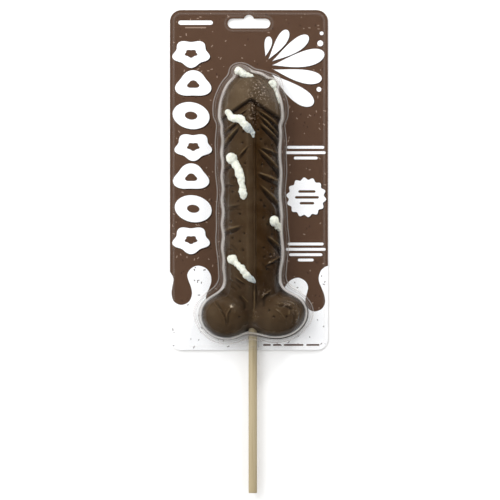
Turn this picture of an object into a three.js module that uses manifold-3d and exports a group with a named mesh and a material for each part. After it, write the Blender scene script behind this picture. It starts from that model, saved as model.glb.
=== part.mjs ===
// A carded novelty lollipop: a dark moulded candy of anatomical form on a round wooden stick, with
// thick white icing strokes, shut between a printed card and a clear formed blister.
// It lies on the card's back with the candy up. Millimetres: +X across the card, +Y towards the
// hang slot, +Z out of the card's front. The origin is on the floor, under the middle of the whole.
import * as THREE from "three";
import { mergeVertices } from "three/addons/utils/BufferGeometryUtils.js";
import Module from "manifold-3d";

const wasm = await Module();
wasm.setup();

// Driving sizes
const TOTAL_LENGTH = 362;
const CARD = { width: 118.5, height: 255, thickness: 0.6, corner: 8.5 };
const SLOT = { width: 32, height: 7.2, bumpRadius: 3.8, bumpRise: 2.9, belowTop: 10.1 };
const STICK = { radius: 3.175, length: 203, x: 2.9, aboveBack: 4.8, chamfer: 0.4, socketGap: 0.3 };
const BACK_GAP = 0.2;
const SEAL_GAP = 0.1;
const TOP_Y = TOTAL_LENGTH / 2;
const CARD_BOTTOM_Y = TOP_Y - CARD.height;
const BACK_Z = CARD.thickness + BACK_GAP;
const FLANGE_Z = CARD.thickness + SEAL_GAP;
const FAR = 400;

// The candy in plan, and its heights above its flat back
const TIP_Y = 133.6;
const BASE_Y = -57.5;
const AXIS = { atBase: 2.8, atTip: 1.35 };
const HEAD = { halfWidth: 22.8, widestY: 99.5, neckY: 92, notchY: 113.5, chevron: 15.5, rise: 2.2, lip: 0.5 };
const SHAFT = { halfWidth: 21, height: 27.5, domeY: 85, rootY: -28, rootHeight: 15 };
const WAIST = { y: -19, narrower: 1, length: 9 };
const SECTION_POWER = 2.3;
const LOBES = [
  { x: -17.2, y: -48.1, radiusX: 18.3, radiusY: 16.3, height: 26, tilt: -0.1 },
  { x: 21.5, y: -47.2, radiusX: 20.8, radiusY: 16.2, height: 26, tilt: 0.12 },
];

// Folds of the surface: side (-1 left, 1 right), where each starts and ends as a share of the half
// width, its crest's y at those ends, and its height and half width
const FOLDS = [
  { side: 1, from: 0.1, to: 1, innerY: 107.5, outerY: 93.5, height: 1.0, width: 1.7 },
  { side: 1, from: 0.14, to: 1, innerY: 101.2, outerY: 87.8, height: 1.1, width: 1.9 },
  { side: 1, from: 0.2, to: 1, innerY: 96.7, outerY: 80.5, height: 1.1, width: 2.0 },
  { side: 1, from: 0.14, to: 1, innerY: 79.5, outerY: 70.4, height: 1.0, width: 2.0 },
  { side: 1, from: 0.14, to: 1, innerY: 78, outerY: 52.8, height: 1.3, width: 2.3 },
  { side: 1, from: 0.25, to: 1, innerY: 58.5, outerY: 50.2, height: 1.2, width: 2.2 },
  { side: 1, from: 0.22, to: 1, innerY: 49.5, outerY: 31.8, height: 1.3, width: 2.4 },
  { side: 1, from: 0.45, to: 1, innerY: 10, outerY: 1.2, height: 1.2, width: 2.3 },
  { side: 1, from: 0.45, to: 1, innerY: -10, outerY: -4.6, height: 0.9, width: 1.9 },
  { side: -1, from: 0.06, to: 1, innerY: 108, outerY: 92, height: 0.7, width: 1.4 },
  { side: -1, from: 0.14, to: 1, innerY: 104.8, outerY: 86.8, height: 0.8, width: 1.5 },
  { side: -1, from: 0.4, to: 1, innerY: 92.7, outerY: 78, height: 1.1, width: 2.2 },
  { side: -1, from: 0.05, to: 0.55, innerY: 78, outerY: 66.5, height: 0.7, width: 1.5 },
  { side: -1, from: 0.65, to: 1, innerY: 63.5, outerY: 61, height: 0.8, width: 1.8 },
  { side: -1, from: 0.5, to: 1, innerY: 48, outerY: 49.2, height: 0.6, width: 1.6 },
  { side: -1, from: 0.3, to: 1, innerY: 33.8, outerY: 33.2, height: 0.6, width: 1.6 },
  { side: -1, from: 0.25, to: 1, innerY: 19.5, outerY: 14, height: 0.9, width: 2.1 },
  { side: -1, from: 0.1, to: 0.7, innerY: -27, outerY: -18, height: 0.8, width: 1.7 },
];
const SEAM = { height: 0.6, halfWidth: 1.8, grooveDepth: 0.35, groove: 3, topY: 110, bottomY: -50 };

// Icing strokes from drop to tail: x, y, radius, and the height where one hangs past the candy's edge
const ICING = [
  [[-7.2, 134.6, 3.2, 7.5], [-4, 133, 2.7, 8.5], [-0.8, 132.2, 2.2, 9], [2.4, 131.4, 1.2, 9.4]],
  [[16.2, 124.5, 3.3], [17.9, 120.4, 2], [19.7, 115.8, 1.4], [21.1, 111.6, 0.8]],
  [[-15.6, 103.6, 2.4], [-13.6, 100.1, 2.5], [-10.2, 99, 2.8], [-6.2, 98.4, 2.9], [-3.6, 95.4, 2.7],
    [-0.8, 92.2, 2.9], [2.4, 88.9, 1.9], [3.4, 85.4, 0.7]],
  [[-12.7, 69.8, 4.2], [-9.8, 64, 2.6], [-7.4, 58.8, 3.3], [-5.8, 53.4, 2.9], [-4.9, 48.2, 2.2],
    [-4.4, 43.2, 2.9], [-4, 40.8, 2.3]],
  [[18.4, 22.4, 3.6], [20.9, 18.6, 2.2], [22.2, 14.2, 1.1], [22.4, 11, 0.6]],
  [[-12.6, -6, 3.6], [-8.4, -9.6, 2.5], [-4.8, -14, 3], [-1.2, -18, 2.9], [2, -21, 2.4], [4.8, -23.8, 1]],
];
const ICING_SHAPE = { flatness: 0.8, lift: 0.05, rings: 14, sides: 8 };

// The clear blister: its wall, how far it stands off the candy, its low step and its edge ribs
const WALL = 0.5;
const CLEAR = { side: 1.2, top: 4, end: 1.2, sectionPower: 3 };
const STEP = { side: 5.1, end: 2.9, height: 2.4, wave: 0.5, wavePitch: 9 };
const RIB = { fromEdge: 1, width: 2.4, height: 1 };
const SLOT_RIB = { gap: 1, width: 1.8 };
const POCKETS = [
  { x: -4.8, y: 133.8, radiusX: 7.2, radiusY: 4.8, height: 14.5, tilt: -0.35 },
  { x: 17, y: 124.2, radiusX: 4.6, radiusY: 4.6, height: 18, tilt: 0 },
];
const POCKET_STEP = 2.4;
const TUNNEL = { clear: 0.7 };
const SKIRT = 1;

// Mesh fineness: rows over the tip, the folded part, the plain part and the root, and columns
const CANDY_ROWS = { tip: 10, folded: 26, plain: 48, root: 8, columns: 24 };
const CLEAR_ROWS = { tip: 6, folded: 4, plain: 6, root: 4, columns: 12 };
const FOLDED_LENGTH = 40;
const CANDY_LOBE = { segments: 30, rings: 9 };
const CLEAR_LOBE = { segments: 20, rings: 5 };

const clamp01 = (v) => Math.min(1, Math.max(0, v));
const mix = (a, b, t) => a + (b - a) * t;
const smooth = (v) => clamp01(v) ** 2 * (3 - 2 * clamp01(v));
const bell = (v) => Math.exp(-v * v);

// A closed geometry as a manifold-3d solid
function solidOf(geometry) {
  const plain = geometry.clone();
  plain.deleteAttribute("normal");
  plain.deleteAttribute("uv");
  const merged = mergeVertices(plain, 1e-4);
  const vertProperties = new Float32Array(merged.attributes.position.array);
  const triVerts = new Uint32Array(merged.index.array);
  return new wasm.Manifold(new wasm.Mesh({ numProp: 3, vertProperties, triVerts }));
}

// A manifold-3d solid as a geometry
function geometryOf(solid) {
  const { numProp, vertProperties, triVerts, numVert } = solid.getMesh();
  const positions = new Float32Array(numVert * 3);
  for (let i = 0; i < numVert; i++) {
    positions.set(vertProperties.subarray(i * numProp, i * numProp + 3), i * 3);
  }
  const geometry = new THREE.BufferGeometry();
  geometry.setAttribute("position", new THREE.BufferAttribute(positions, 3));
  geometry.setIndex(new THREE.BufferAttribute(triVerts, 1));
  geometry.computeVertexNormals();
  return geometry;
}

const joined = (solids) => solids.reduce((whole, one) => whole.add(one));

// The part of a solid between two heights
function sliced(solid, lowZ, highZ) {
  const slab = new THREE.BoxGeometry(FAR, FAR, highZ - lowZ);
  slab.translate(0, 0, (lowZ + highZ) / 2);
  return solid.intersect(solidOf(slab));
}

// A sphere's grid of rows and columns with each point moved to pointAt(row, column)
function reshapedSphere(rows, columns, pointAt) {
  const geometry = new THREE.SphereGeometry(1, columns, rows);
  const positions = geometry.attributes.position;
  for (let row = 0, i = 0; row <= rows; row++) {
    for (let column = 0; column <= columns; column++, i++) {
      positions.setXYZ(i, ...pointAt(row, column % columns));
    }
  }
  return geometry;
}

const axisX = (y) => mix(AXIS.atBase, AXIS.atTip, (y - BASE_Y) / (TIP_Y - BASE_Y));

// Half the candy's width at y: an ellipse over the tip, a slight flare at the head, a blunt root
function halfWidth(y) {
  if (y > HEAD.widestY) {
    const k = (y - HEAD.widestY) / (TIP_Y - HEAD.widestY);
    return HEAD.halfWidth * Math.max(0, 1 - k ** 2.1) ** 0.45;
  }
  if (y < SHAFT.rootY) {
    const k = (SHAFT.rootY - y) / (SHAFT.rootY - BASE_Y);
    return SHAFT.halfWidth * Math.sqrt(Math.max(0, 1 - k ** 3));
  }
  const flare = smooth((y - HEAD.neckY) / (HEAD.widestY - HEAD.neckY));
  return mix(SHAFT.halfWidth, HEAD.halfWidth, flare) - WAIST.narrower * bell((y - WAIST.y) / WAIST.length);
}

// Height of the candy's middle at y above its back; a higher power makes the tip's dome blunter
function midHeight(y, power) {
  if (y > SHAFT.domeY) {
    const k = (y - SHAFT.domeY) / (TIP_Y - SHAFT.domeY);
    return SHAFT.height * Math.max(0, 1 - k ** power) ** (1 / power);
  }
  const lowered = mix(SHAFT.height, SHAFT.rootHeight, smooth((-12 - y) / 44));
  const k = clamp01((SHAFT.rootY - y) / (SHAFT.rootY - BASE_Y));
  return lowered * Math.sqrt(1 - k ** 8);
}

// How far a row that crosses the middle at y has dropped at its left (-1) or right (1) edge:
// the rows follow the head's notch and the folds, and straighten out lower down
function chevron(y, side) {
  if (y > HEAD.notchY) return (HEAD.chevron * (TIP_Y - y)) / (TIP_Y - HEAD.notchY);
  if (side < 0) return HEAD.chevron * (1 - smooth((85 - y) / 38));
  return HEAD.chevron * (1 - smooth((35 - y) / 60));
}

const chevronShare = (across) => Math.hypot(across, 0.05) - 0.05;

// The step down from the head's rolled lip to the shaft
function headRelief(across, y) {
  const above = y - (HEAD.notchY - HEAD.chevron * chevronShare(across));
  const lip = HEAD.rise * (1 - 0.75 * Math.abs(across) ** 3);
  if (above > 0) return lip * (0.3 + 0.7 * Math.exp(-above / 9)) * smooth((TIP_Y - y) / 12);
  return -0.9 * Math.exp(above / 2.2) * smooth(1.6 - Math.abs(across));
}

// A fold is a crest with a groove under it
function foldRelief(across, y, fold) {
  const t = (across * fold.side - fold.from) / (fold.to - fold.from);
  if (t <= 0 || t > 1.2) return 0;
  const below = mix(fold.innerY, fold.outerY, t) - y;
  const fade = smooth(t / 0.25) * (fold.to < 1 ? smooth((1 - t) / 0.25) : 1 - 0.5 * clamp01(t) ** 3);
  const shape = bell(below / fold.width) - 0.9 * bell((below - 1.5 * fold.width) / fold.width);
  return fold.height * fade * shape;
}

// A raised seam along the middle between two fine grooves
function seamRelief(offset, y) {
  const along = smooth((SEAM.topY - y) / 6) * smooth((y - SEAM.bottomY) / 6);
  const groove = bell((Math.abs(offset) - SEAM.groove) / (SEAM.halfWidth / 2));
  return along * (SEAM.height * bell(offset / SEAM.halfWidth) - SEAM.grooveDepth * groove);
}

function relief(offset, across, y) {
  const folds = FOLDS.reduce((sum, fold) => sum + foldRelief(across, y, fold), 0);
  const onShaft = y < HEAD.notchY - HEAD.chevron * chevronShare(across) ? 1 : 0;
  return headRelief(across, y) + onShaft * (folds + seamRelief(offset, y));
}

// The y at the middle of each row, from tip to root, with two rows close on the head's lip
function rowStations({ tip, folded, plain, root }) {
  const lipTop = HEAD.notchY + HEAD.lip;
  const lipBottom = HEAD.notchY - HEAD.lip;
  const stations = [];
  for (let i = 0; i <= tip; i++) {
    stations.push(TIP_Y - (TIP_Y - lipTop) * (1 - Math.cos((i / tip) * Math.PI / 2)));
  }
  for (let i = 0; i < folded; i++) stations.push(lipBottom - (FOLDED_LENGTH * i) / folded);
  const plainTop = lipBottom - FOLDED_LENGTH;
  for (let i = 0; i < plain; i++) stations.push(mix(plainTop, SHAFT.rootY, i / plain));
  for (let i = 0; i <= root; i++) {
    stations.push(mix(SHAFT.rootY, BASE_Y, Math.sin((i / root) * Math.PI / 2)));
  }
  return stations;
}

// The shaft with its head as one closed body, its sides carried down by a short skirt
function shaftGeometry(fineness, power, withRelief) {
  const stations = rowStations(fineness);
  const top = fineness.columns;
  return reshapedSphere(stations.length - 1, top + 2, (row, column) => {
    const turn = (Math.PI * Math.min(column, top)) / top;
    const share = Math.abs(Math.cos(turn)) ** (2 / power);
    let across = -Math.sign(Math.cos(turn)) * share;
    if (column === top + 1) across = -1;
    const y = stations[row] - chevron(stations[row], Math.sign(across)) * chevronShare(across);
    const half = halfWidth(y);
    if (column >= top) return [axisX(y) + (column === top ? half : -half), y, -SKIRT * clamp01(half / 4)];
    const out = withRelief ? relief(across * half, across, y) * clamp01(half / 6) : 0;
    const x = axisX(y) + across * half - Math.cos(turn) * out;
    return [x, y, midHeight(y, power) * Math.sin(turn) ** (2 / power) + Math.sin(turn) * out];
  });
}

// One lobe: a lathed dome with a short skirt, drawn out to an oval and turned in plan
function lobeGeometry(lobe, { segments, rings }, power, side = 0, top = 0) {
  const profile = [new THREE.Vector2(0, -SKIRT / lobe.height), new THREE.Vector2(1, -SKIRT / lobe.height)];
  for (let i = 0; i <= rings; i++) {
    const rise = (i / rings) * (Math.PI / 2);
    const radius = i === rings ? 0 : Math.cos(rise) ** (2 / power);
    profile.push(new THREE.Vector2(radius, Math.sin(rise) ** (2 / power)));
  }
  const geometry = new THREE.LatheGeometry(profile, segments);
  geometry.rotateX(Math.PI / 2);
  geometry.scale(lobe.radiusX + side, lobe.radiusY + side, lobe.height + top);
  geometry.rotateZ(lobe.tilt);
  geometry.translate(lobe.x, lobe.y, 0);
  return geometry;
}

// Height of the candy's surface above its back, without folds, out to just short of its edge
function surfaceHeight(x, y) {
  const half = halfWidth(y);
  const across = Math.min(0.97, Math.abs(x - axisX(y)) / half);
  const plain = midHeight(y, SECTION_POWER) * (1 - across ** SECTION_POWER) ** (1 / SECTION_POWER);
  return plain + Math.max(0, headRelief(across, y));
}

// The direction straight out of the candy's surface, without folds
function surfaceNormal(x, y) {
  const inY = Math.min(y, TIP_Y - 1.5);
  const across = Math.min(0.97, Math.max(-0.97, (x - axisX(inY)) / halfWidth(inY)));
  const steep = Math.abs(across) ** (SECTION_POWER - 1) / halfWidth(inY);
  const level = (1 - Math.abs(across) ** SECTION_POWER) ** (1 - 1 / SECTION_POWER);
  const sideways = (Math.sign(across) * steep * midHeight(inY, SECTION_POWER)) / level;
  const lengthways = (surfaceHeight(x, inY - 1) - surfaceHeight(x, inY + 1)) / 2;
  return new THREE.Vector3(sideways, lengthways, 1).normalize();
}

// An icing stroke: a flattened worm that follows the surface, round at its drop, thin at its tail
function icingGeometry(stroke) {
  const { flatness, lift, rings, sides } = ICING_SHAPE;
  const spots = stroke.map(([x, y, radius, z]) =>
    new THREE.Vector3(x, y, z ?? surfaceHeight(x, y)).addScaledVector(surfaceNormal(x, y), lift * radius));
  const headRadius = stroke[0][2];
  const tailRadius = stroke.at(-1)[2];
  const before = spots[0].clone().sub(spots[1]).setLength(headRadius).add(spots[0]);
  const after = spots.at(-1).clone().sub(spots.at(-2)).setLength(tailRadius).add(spots.at(-1));
  const path = new THREE.CatmullRomCurve3([before, ...spots, after], false, "centripetal");
  const last = stroke.length + 1;
  const radiusAt = (t) => {
    const place = t * last;
    const index = Math.min(stroke.length - 1, Math.max(0, place - 1));
    const low = Math.floor(index);
    const high = Math.min(stroke.length - 1, low + 1);
    const radius = mix(stroke[low][2], stroke[high][2], smooth(index - low));
    const end = Math.min(1, place, last - place);
    return radius * Math.sqrt(1 - (1 - end) ** 2);
  };
  return reshapedSphere(rings, sides, (row, column) => {
    const t = (1 - Math.cos((row / rings) * Math.PI)) / 2;
    const centre = path.getPoint(t);
    const along = path.getTangent(t);
    const sideways = new THREE.Vector3().crossVectors(along, surfaceNormal(centre.x, centre.y)).normalize();
    const outwards = new THREE.Vector3().crossVectors(sideways, along).normalize();
    const turn = (column / sides) * Math.PI * 2;
    const radius = row === 0 || row === rings ? 0 : radiusAt(t);
    return centre
      .addScaledVector(sideways, Math.cos(turn) * radius)
      .addScaledVector(outwards, Math.sin(turn) * radius * flatness)
      .toArray();
  });
}

function stickGeometry() {
  const { radius, length, chamfer } = STICK;
  const profile = [[0, 0], [radius - chamfer, 0], [radius, chamfer], [radius, length - chamfer],
    [radius - chamfer, length], [0, length]];
  return new THREE.LatheGeometry(profile.map(([r, y]) => new THREE.Vector2(r, y)), 20);
}

// A round bar along Y around the stick's line, from lowY to highY, from the candy's back up
function stickBar(radius, lowY, highY, segments = 20) {
  const bar = new THREE.CylinderGeometry(radius, radius, highY - lowY, segments);
  bar.translate(STICK.x, (lowY + highY) / 2, STICK.aboveBack);
  return bar;
}

// The candy with its icing, on its flat back, with a socket for the stick
function candyGeometry() {
  const lobes = LOBES.map((lobe) => lobeGeometry(lobe, CANDY_LOBE, SECTION_POWER));
  const bodies = [shaftGeometry(CANDY_ROWS, SECTION_POWER, true), ...lobes];
  const icing = ICING.map(icingGeometry);
  const whole = joined([...bodies, ...icing].map(solidOf));
  const socketTop = STICK.length - TOP_Y + STICK.socketGap;
  const socket = solidOf(stickBar(STICK.radius + STICK.socketGap, CARD_BOTTOM_Y, socketTop));
  return geometryOf(sliced(whole.subtract(socket), 0, FAR));
}

// A rectangle with round corners, its sides drawn in from the card's edge by inset
function cardOutline(path, inset) {
  const half = CARD.width / 2 - inset;
  const low = CARD_BOTTOM_Y + inset;
  const high = TOP_Y - inset;
  const r = CARD.corner - inset;
  path.moveTo(-half + r, low);
  path.lineTo(half - r, low);
  path.absarc(half - r, low + r, r, -Math.PI / 2, 0);
  path.lineTo(half, high - r);
  path.absarc(half - r, high - r, r, 0, Math.PI / 2);
  path.lineTo(-half + r, high);
  path.absarc(-half + r, high - r, r, Math.PI / 2, Math.PI);
  path.lineTo(-half, low + r);
  path.absarc(-half + r, low + r, r, Math.PI, 1.5 * Math.PI);
  return path;
}

// The hang slot, with a round bump over its middle, spread by grow
function slotOutline(path, grow) {
  const centreY = TOP_Y - SLOT.belowTop;
  const r = SLOT.height / 2 + grow;
  const end = SLOT.width / 2 - SLOT.height / 2;
  const bump = SLOT.bumpRadius + grow;
  const bumpY = centreY + SLOT.height / 2 + SLOT.bumpRise - SLOT.bumpRadius;
  const rise = Math.asin((centreY + r - bumpY) / bump);
  path.moveTo(-end, centreY - r);
  path.lineTo(end, centreY - r);
  path.absarc(end, centreY, r, -Math.PI / 2, Math.PI / 2);
  path.lineTo(bump * Math.cos(rise), centreY + r);
  path.absarc(0, bumpY, bump, rise, Math.PI - rise);
  path.lineTo(-end, centreY + r);
  path.absarc(-end, centreY, r, Math.PI / 2, 1.5 * Math.PI);
  return path;
}

// A flat plate of an outline with holes, between two heights
function plate(outline, holes, lowZ, highZ) {
  outline.holes = holes;
  const geometry = new THREE.ExtrudeGeometry(outline, {
    depth: highZ - lowZ, bevelEnabled: false, curveSegments: 4,
  });
  geometry.translate(0, 0, lowZ);
  return geometry;
}

function cardGeometry() {
  const outline = cardOutline(new THREE.Shape(), 0);
  return plate(outline, [slotOutline(new THREE.Path(), 0)], 0, CARD.thickness);
}

// The smooth form over the candy, scaled up from it; side, top and end are how far it stands off,
// and wave is how far its sides weave in and out
function coverBodies(side, top, end, wave = 0) {
  const middle = (TIP_Y + BASE_Y) / 2;
  const cover = shaftGeometry(CLEAR_ROWS, CLEAR.sectionPower, false);
  cover.translate(-STICK.x, -middle, 0);
  cover.scale(1 + side / SHAFT.halfWidth, 1 + (2 * end) / (TIP_Y - BASE_Y), 1 + top / SHAFT.height);
  cover.translate(STICK.x, middle, 0);
  const lobes = LOBES.map((lobe) => lobeGeometry(lobe, CLEAR_LOBE, CLEAR.sectionPower, side, top));
  const bodies = [cover, ...lobes];
  bodies.forEach((body) => weave(body, wave));
  return joined(bodies.map(solidOf));
}

// Moves a form's sides in and out by a slow wave along the pack
function weave(geometry, wave) {
  const positions = geometry.attributes.position;
  for (let i = 0; i < positions.count; i++) {
    const out = clamp01(Math.abs(positions.getX(i) - STICK.x) / 10) * Math.sign(positions.getX(i) - STICK.x);
    const along = positions.getY(i) / STEP.wavePitch;
    positions.setX(i, positions.getX(i) + out * wave * (Math.sin(along) + 0.6 * Math.sin(2.2 * along)));
  }
}

// The pockets over the drops of icing that hang past the candy's edge
function pocketBodies(grow) {
  const pockets = POCKETS.map((one) => lobeGeometry(one, CLEAR_LOBE, CLEAR.sectionPower, grow, grow));
  return joined(pockets.map(solidOf));
}

// The low step round the candy: the cover's outline spread out with a slight wave, and cut off flat
function stepBody(grow, topZ) {
  const spread = coverBodies(STEP.side + grow, CLEAR.top, STEP.end + grow, STEP.wave);
  return sliced(spread.add(pocketBodies(POCKET_STEP + grow)), -SKIRT, topZ);
}

// The hollow form of the blister, from the flange's underside up; grow is 0 inside, WALL outside
function blisterForm(grow) {
  const lift = FLANGE_Z - BACK_Z + grow;
  const cover = coverBodies(CLEAR.side + grow, CLEAR.top + grow, CLEAR.end + grow);
  const tunnelRadius = STICK.radius + TUNNEL.clear + grow;
  const tunnelEnd = grow > 0 ? CARD_BOTTOM_Y : CARD_BOTTOM_Y - CARD.corner;
  const arch = solidOf(stickBar(tunnelRadius, tunnelEnd, BASE_Y + 12, 16));
  const legs = new THREE.BoxGeometry(2 * tunnelRadius, BASE_Y + 12 - tunnelEnd, STICK.aboveBack + SKIRT);
  legs.translate(STICK.x, (BASE_Y + 12 + tunnelEnd) / 2, (STICK.aboveBack - SKIRT) / 2);
  const inset = RIB.fromEdge - grow + WALL;
  const rib = plate(
    cardOutline(new THREE.Shape(), inset),
    [cardOutline(new THREE.Path(), RIB.fromEdge + RIB.width + grow - WALL)],
    -SKIRT,
    lift + RIB.height,
  );
  const slotRib = plate(
    slotOutline(new THREE.Shape(), SLOT_RIB.gap + SLOT_RIB.width + grow - WALL),
    [slotOutline(new THREE.Path(), SLOT_RIB.gap - grow + WALL)],
    -SKIRT,
    lift + RIB.height,
  );
  const low = [legs, rib, slotRib].map(solidOf);
  return joined([cover, pocketBodies(grow), arch, stepBody(grow, lift + STEP.height), ...low]);
}

// The clear shell: a flange over the whole card, formed up over the candy, open only at the stick
function blisterGeometry() {
  const flangeLow = FLANGE_Z - BACK_Z;
  const slot = () => slotOutline(new THREE.Path(), 0);
  const flange = plate(cardOutline(new THREE.Shape(), 0), [slot()], flangeLow, flangeLow + WALL);
  const outside = sliced(solidOf(flange).add(blisterForm(WALL)), flangeLow, FAR);
  return geometryOf(outside.subtract(blisterForm(0)));
}

const paint = (color, roughness, extra = {}) =>
  new THREE.MeshStandardMaterial({ color, roughness, metalness: 0, ...extra });

// A named mesh at a height above the floor
function piece(name, geometry, material, z = 0) {
  const mesh = new THREE.Mesh(geometry, material);
  mesh.name = name;
  mesh.position.z = z;
  return mesh;
}

const pack = new THREE.Group();
const clearPlastic = paint(0xf4f4f6, 0.08, { transparent: true, opacity: 0.2 });
pack.add(piece("card", cardGeometry(), paint(0x5a4538, 0.5)));
pack.add(piece("candy", candyGeometry(), paint(0x3a291a, 0.3), BACK_Z));
pack.add(piece("blister", blisterGeometry(), clearPlastic, BACK_Z));

const stick = piece("stick", stickGeometry(), paint(0xc8b68c, 0.7), BACK_Z + STICK.aboveBack);
stick.position.x = STICK.x;
stick.position.y = -TOP_Y;
pack.add(stick);

export default pack;
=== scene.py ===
# A carded novelty lollipop on its back, seen from straight above: a dark glossy moulded candy with
# thick off-white icing on a round wooden stick, under a clear formed blister on a printed card.
# Sizes and places are in millimetres in the row frame; meshes are made in metres.
import math
import random

import bpy
import numpy as np
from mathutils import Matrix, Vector, noise
from mathutils.geometry import delaunay_2d_cdt


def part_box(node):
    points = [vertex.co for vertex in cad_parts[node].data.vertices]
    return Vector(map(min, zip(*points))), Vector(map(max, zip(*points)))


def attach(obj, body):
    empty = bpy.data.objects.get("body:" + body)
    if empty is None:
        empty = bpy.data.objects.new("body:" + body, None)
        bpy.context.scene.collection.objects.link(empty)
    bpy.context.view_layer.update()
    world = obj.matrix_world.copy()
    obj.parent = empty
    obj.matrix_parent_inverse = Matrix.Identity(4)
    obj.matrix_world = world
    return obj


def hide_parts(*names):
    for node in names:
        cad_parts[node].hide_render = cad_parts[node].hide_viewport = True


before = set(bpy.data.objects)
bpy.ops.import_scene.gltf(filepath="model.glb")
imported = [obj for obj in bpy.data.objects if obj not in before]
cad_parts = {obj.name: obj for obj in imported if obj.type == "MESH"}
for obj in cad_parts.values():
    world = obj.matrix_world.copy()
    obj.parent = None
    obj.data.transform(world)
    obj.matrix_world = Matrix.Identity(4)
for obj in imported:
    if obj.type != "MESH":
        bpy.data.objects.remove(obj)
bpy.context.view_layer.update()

MM = 0.001

# Places that the frame gives
card_low, card_high = [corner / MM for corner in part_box("card")]
candy_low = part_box("candy")[0] / MM
clear_low, clear_high = [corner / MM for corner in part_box("blister")]
stick_low, stick_high = [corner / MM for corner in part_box("stick")]
TOP_Y = card_high.y
CARD_BOTTOM_Y = card_low.y
CARD_TOP_Z = card_high.z
BACK_Z = candy_low.z
FLANGE_Z = clear_low.z
STICK_X = (stick_low.x + stick_high.x) / 2
STICK_Z = (stick_low.z + stick_high.z) / 2
STICK_RADIUS = (stick_high.z - stick_low.z) / 2

# The card and its hang slot
CARD_CORNER = 8.5
SLOT = {"width": 32, "height": 7.2, "bump": 3.8, "rise": 2.9, "below_top": 10.1}

# The candy in plan, and its heights above its flat back
TIP_Y = 133.6
BASE_Y = -57.5
AXIS_X = (2.8, 1.35)
HEAD = {"half": 22.8, "widest_y": 99.5, "neck_y": 92, "notch_y": 113.5, "chevron": 15.5, "rise": 2.2}
SHAFT = {
    "half": 21, "height": 27.5, "dome_y": 85, "root_y": -28, "root_height": 15, "lowers_y": -12,
    "lowers_over": 44,
}
WAIST = {"y": -19, "narrower": 1, "length": 9}
BULGE = {"y": 4, "out": 0.9, "length": 20}
FULLER_LOBES = 0.8
SECTION_POWER = 2.3
LOBES = [
    {"x": -17.2, "y": -48.1, "rx": 18.3, "ry": 16.3, "height": 26, "tilt": -0.1},
    {"x": 21.5, "y": -47.2, "rx": 20.8, "ry": 16.2, "height": 26, "tilt": 0.12},
]

# Folds: side, start and end as a share of the half width, crest's y there, height and half width
FOLD_DEPTH = 1.3
FOLD_BOW = 0.06
FOLDS = [
    (1, 0.07, 1, 107.6, 92.6, 1.0, 1.3), (1, 0.15, 1, 103, 86.5, 1.1, 1.4),
    (1, 0.18, 1, 97.5, 82.5, 1.2, 1.9), (1, 0.25, 1, 78, 72.6, 1.1, 1.5),
    (1, 0.13, 1, 78.8, 60.3, 1.4, 2.1), (1, 0.12, 1, 59.2, 52.2, 1.3, 1.9),
    (1, 0.18, 1, 51.5, 34.6, 1.2, 2.2), (1, 0.45, 1, 12.5, 1.8, 1.4, 2),
    (1, 0.42, 1, -11.5, -3.5, 1.1, 1.4), (-1, 0.02, 0.5, 107.3, 100, 0.7, 0.9),
    (-1, 0.03, 0.45, 103.4, 96.5, 0.6, 0.9), (-1, 0.3, 1, 99, 88.5, 0.9, 1.1),
    (-1, 0.33, 1, 94.8, 79.4, 1.2, 1.7), (-1, 0.03, 0.5, 80, 69.5, 1.0, 1.6),
    (-1, 0.55, 1, 66, 62.5, 0.9, 1.5), (-1, 0.5, 1, 49.5, 50.5, 0.6, 1.1),
    (-1, 0.35, 0.9, 35, 33.6, 0.7, 1.1), (-1, 0.28, 1, 19.6, 15.2, 1.0, 1.7),
    (-1, 0.15, 0.75, -26, -17.5, 0.9, 1.4),
]
SEAM = {
    "x": -0.5, "half": 1.7, "height": 1, "top_y": 110, "bottom_y": -47, "fades_y": -34,
    "line": 4.2, "groove": 1,
}

# Fine ridges (height above 0) and creases (below 0) on the surface: points, half width, height
RIDGES = [
    ([(-25.9, -36), (-21.4, -42.2), (-17.5, -49.5), (-16.4, -56.2)], 0.7, -0.8),
    ([(-26.8, -36.8), (-22.4, -43.2), (-18.7, -50), (-17.6, -56)], 0.6, 0.6),
    ([(-13.6, -42.2), (-16.4, -46.1), (-16.9, -50.6)], 0.6, 0.8),
    ([(-13, -43.6), (-15, -47.6), (-15.4, -55)], 0.7, -0.8),
    ([(-9.9, -44.4), (-11.3, -46.7)], 0.6, 0.7),
    ([(-5.7, -32.4), (0.1, -38.3)], 0.5, 1),
    ([(19.7, -39.1), (25.1, -38.8), (32.3, -41.9)], 0.6, 1),
    ([(27.3, -37.4), (31, -38.4), (34.6, -40.2)], 0.55, 1),
    ([(21.4, -40.9), (27, -40.6), (33.4, -44)], 0.7, -0.9),
    ([(35.1, -41.1), (36.5, -47.2), (34.6, -53.4)], 0.7, 0.8),
    ([(18.3, -42.2), (24.5, -46.7), (27.9, -51.7)], 0.6, 0.8),
    ([(30.2, -43.8), (29.6, -47.5)], 0.6, 1),
    ([(33, -45.6), (33.8, -50), (32, -55)], 0.9, -0.7),
    ([(16.9, -28.5), (13.9, -30.2), (11.1, -32.4), (8.8, -35.5)], 0.6, 1.2),
    ([(15.5, -31.5), (11.5, -35.5), (10.5, -42)], 1.2, -0.9),
    ([(-8, -33), (-3.5, -39), (-2.5, -44)], 1.2, -0.9),
    ([(-15, -21), (-9.5, -24.5), (-5, -29)], 1, -0.8),
    ([(-13.5, -26.5), (-9, -29.5)], 0.9, -0.7),
    ([(3.8, -28), (4, -47)], 1.2, 1),
    ([(-18, 30), (-10, 31.5), (-5, 30.2)], 0.8, -0.6),
    ([(9, 38), (15, 30), (20, 26)], 0.8, -0.5),
    ([(-16, 5), (-11, 3), (-8, -1)], 0.7, -0.5),
    ([(9, -8), (14, -13), (18, -15)], 0.8, -0.6),
    ([(-12, 67), (-17, 63)], 0.9, -0.6),
]
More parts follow.
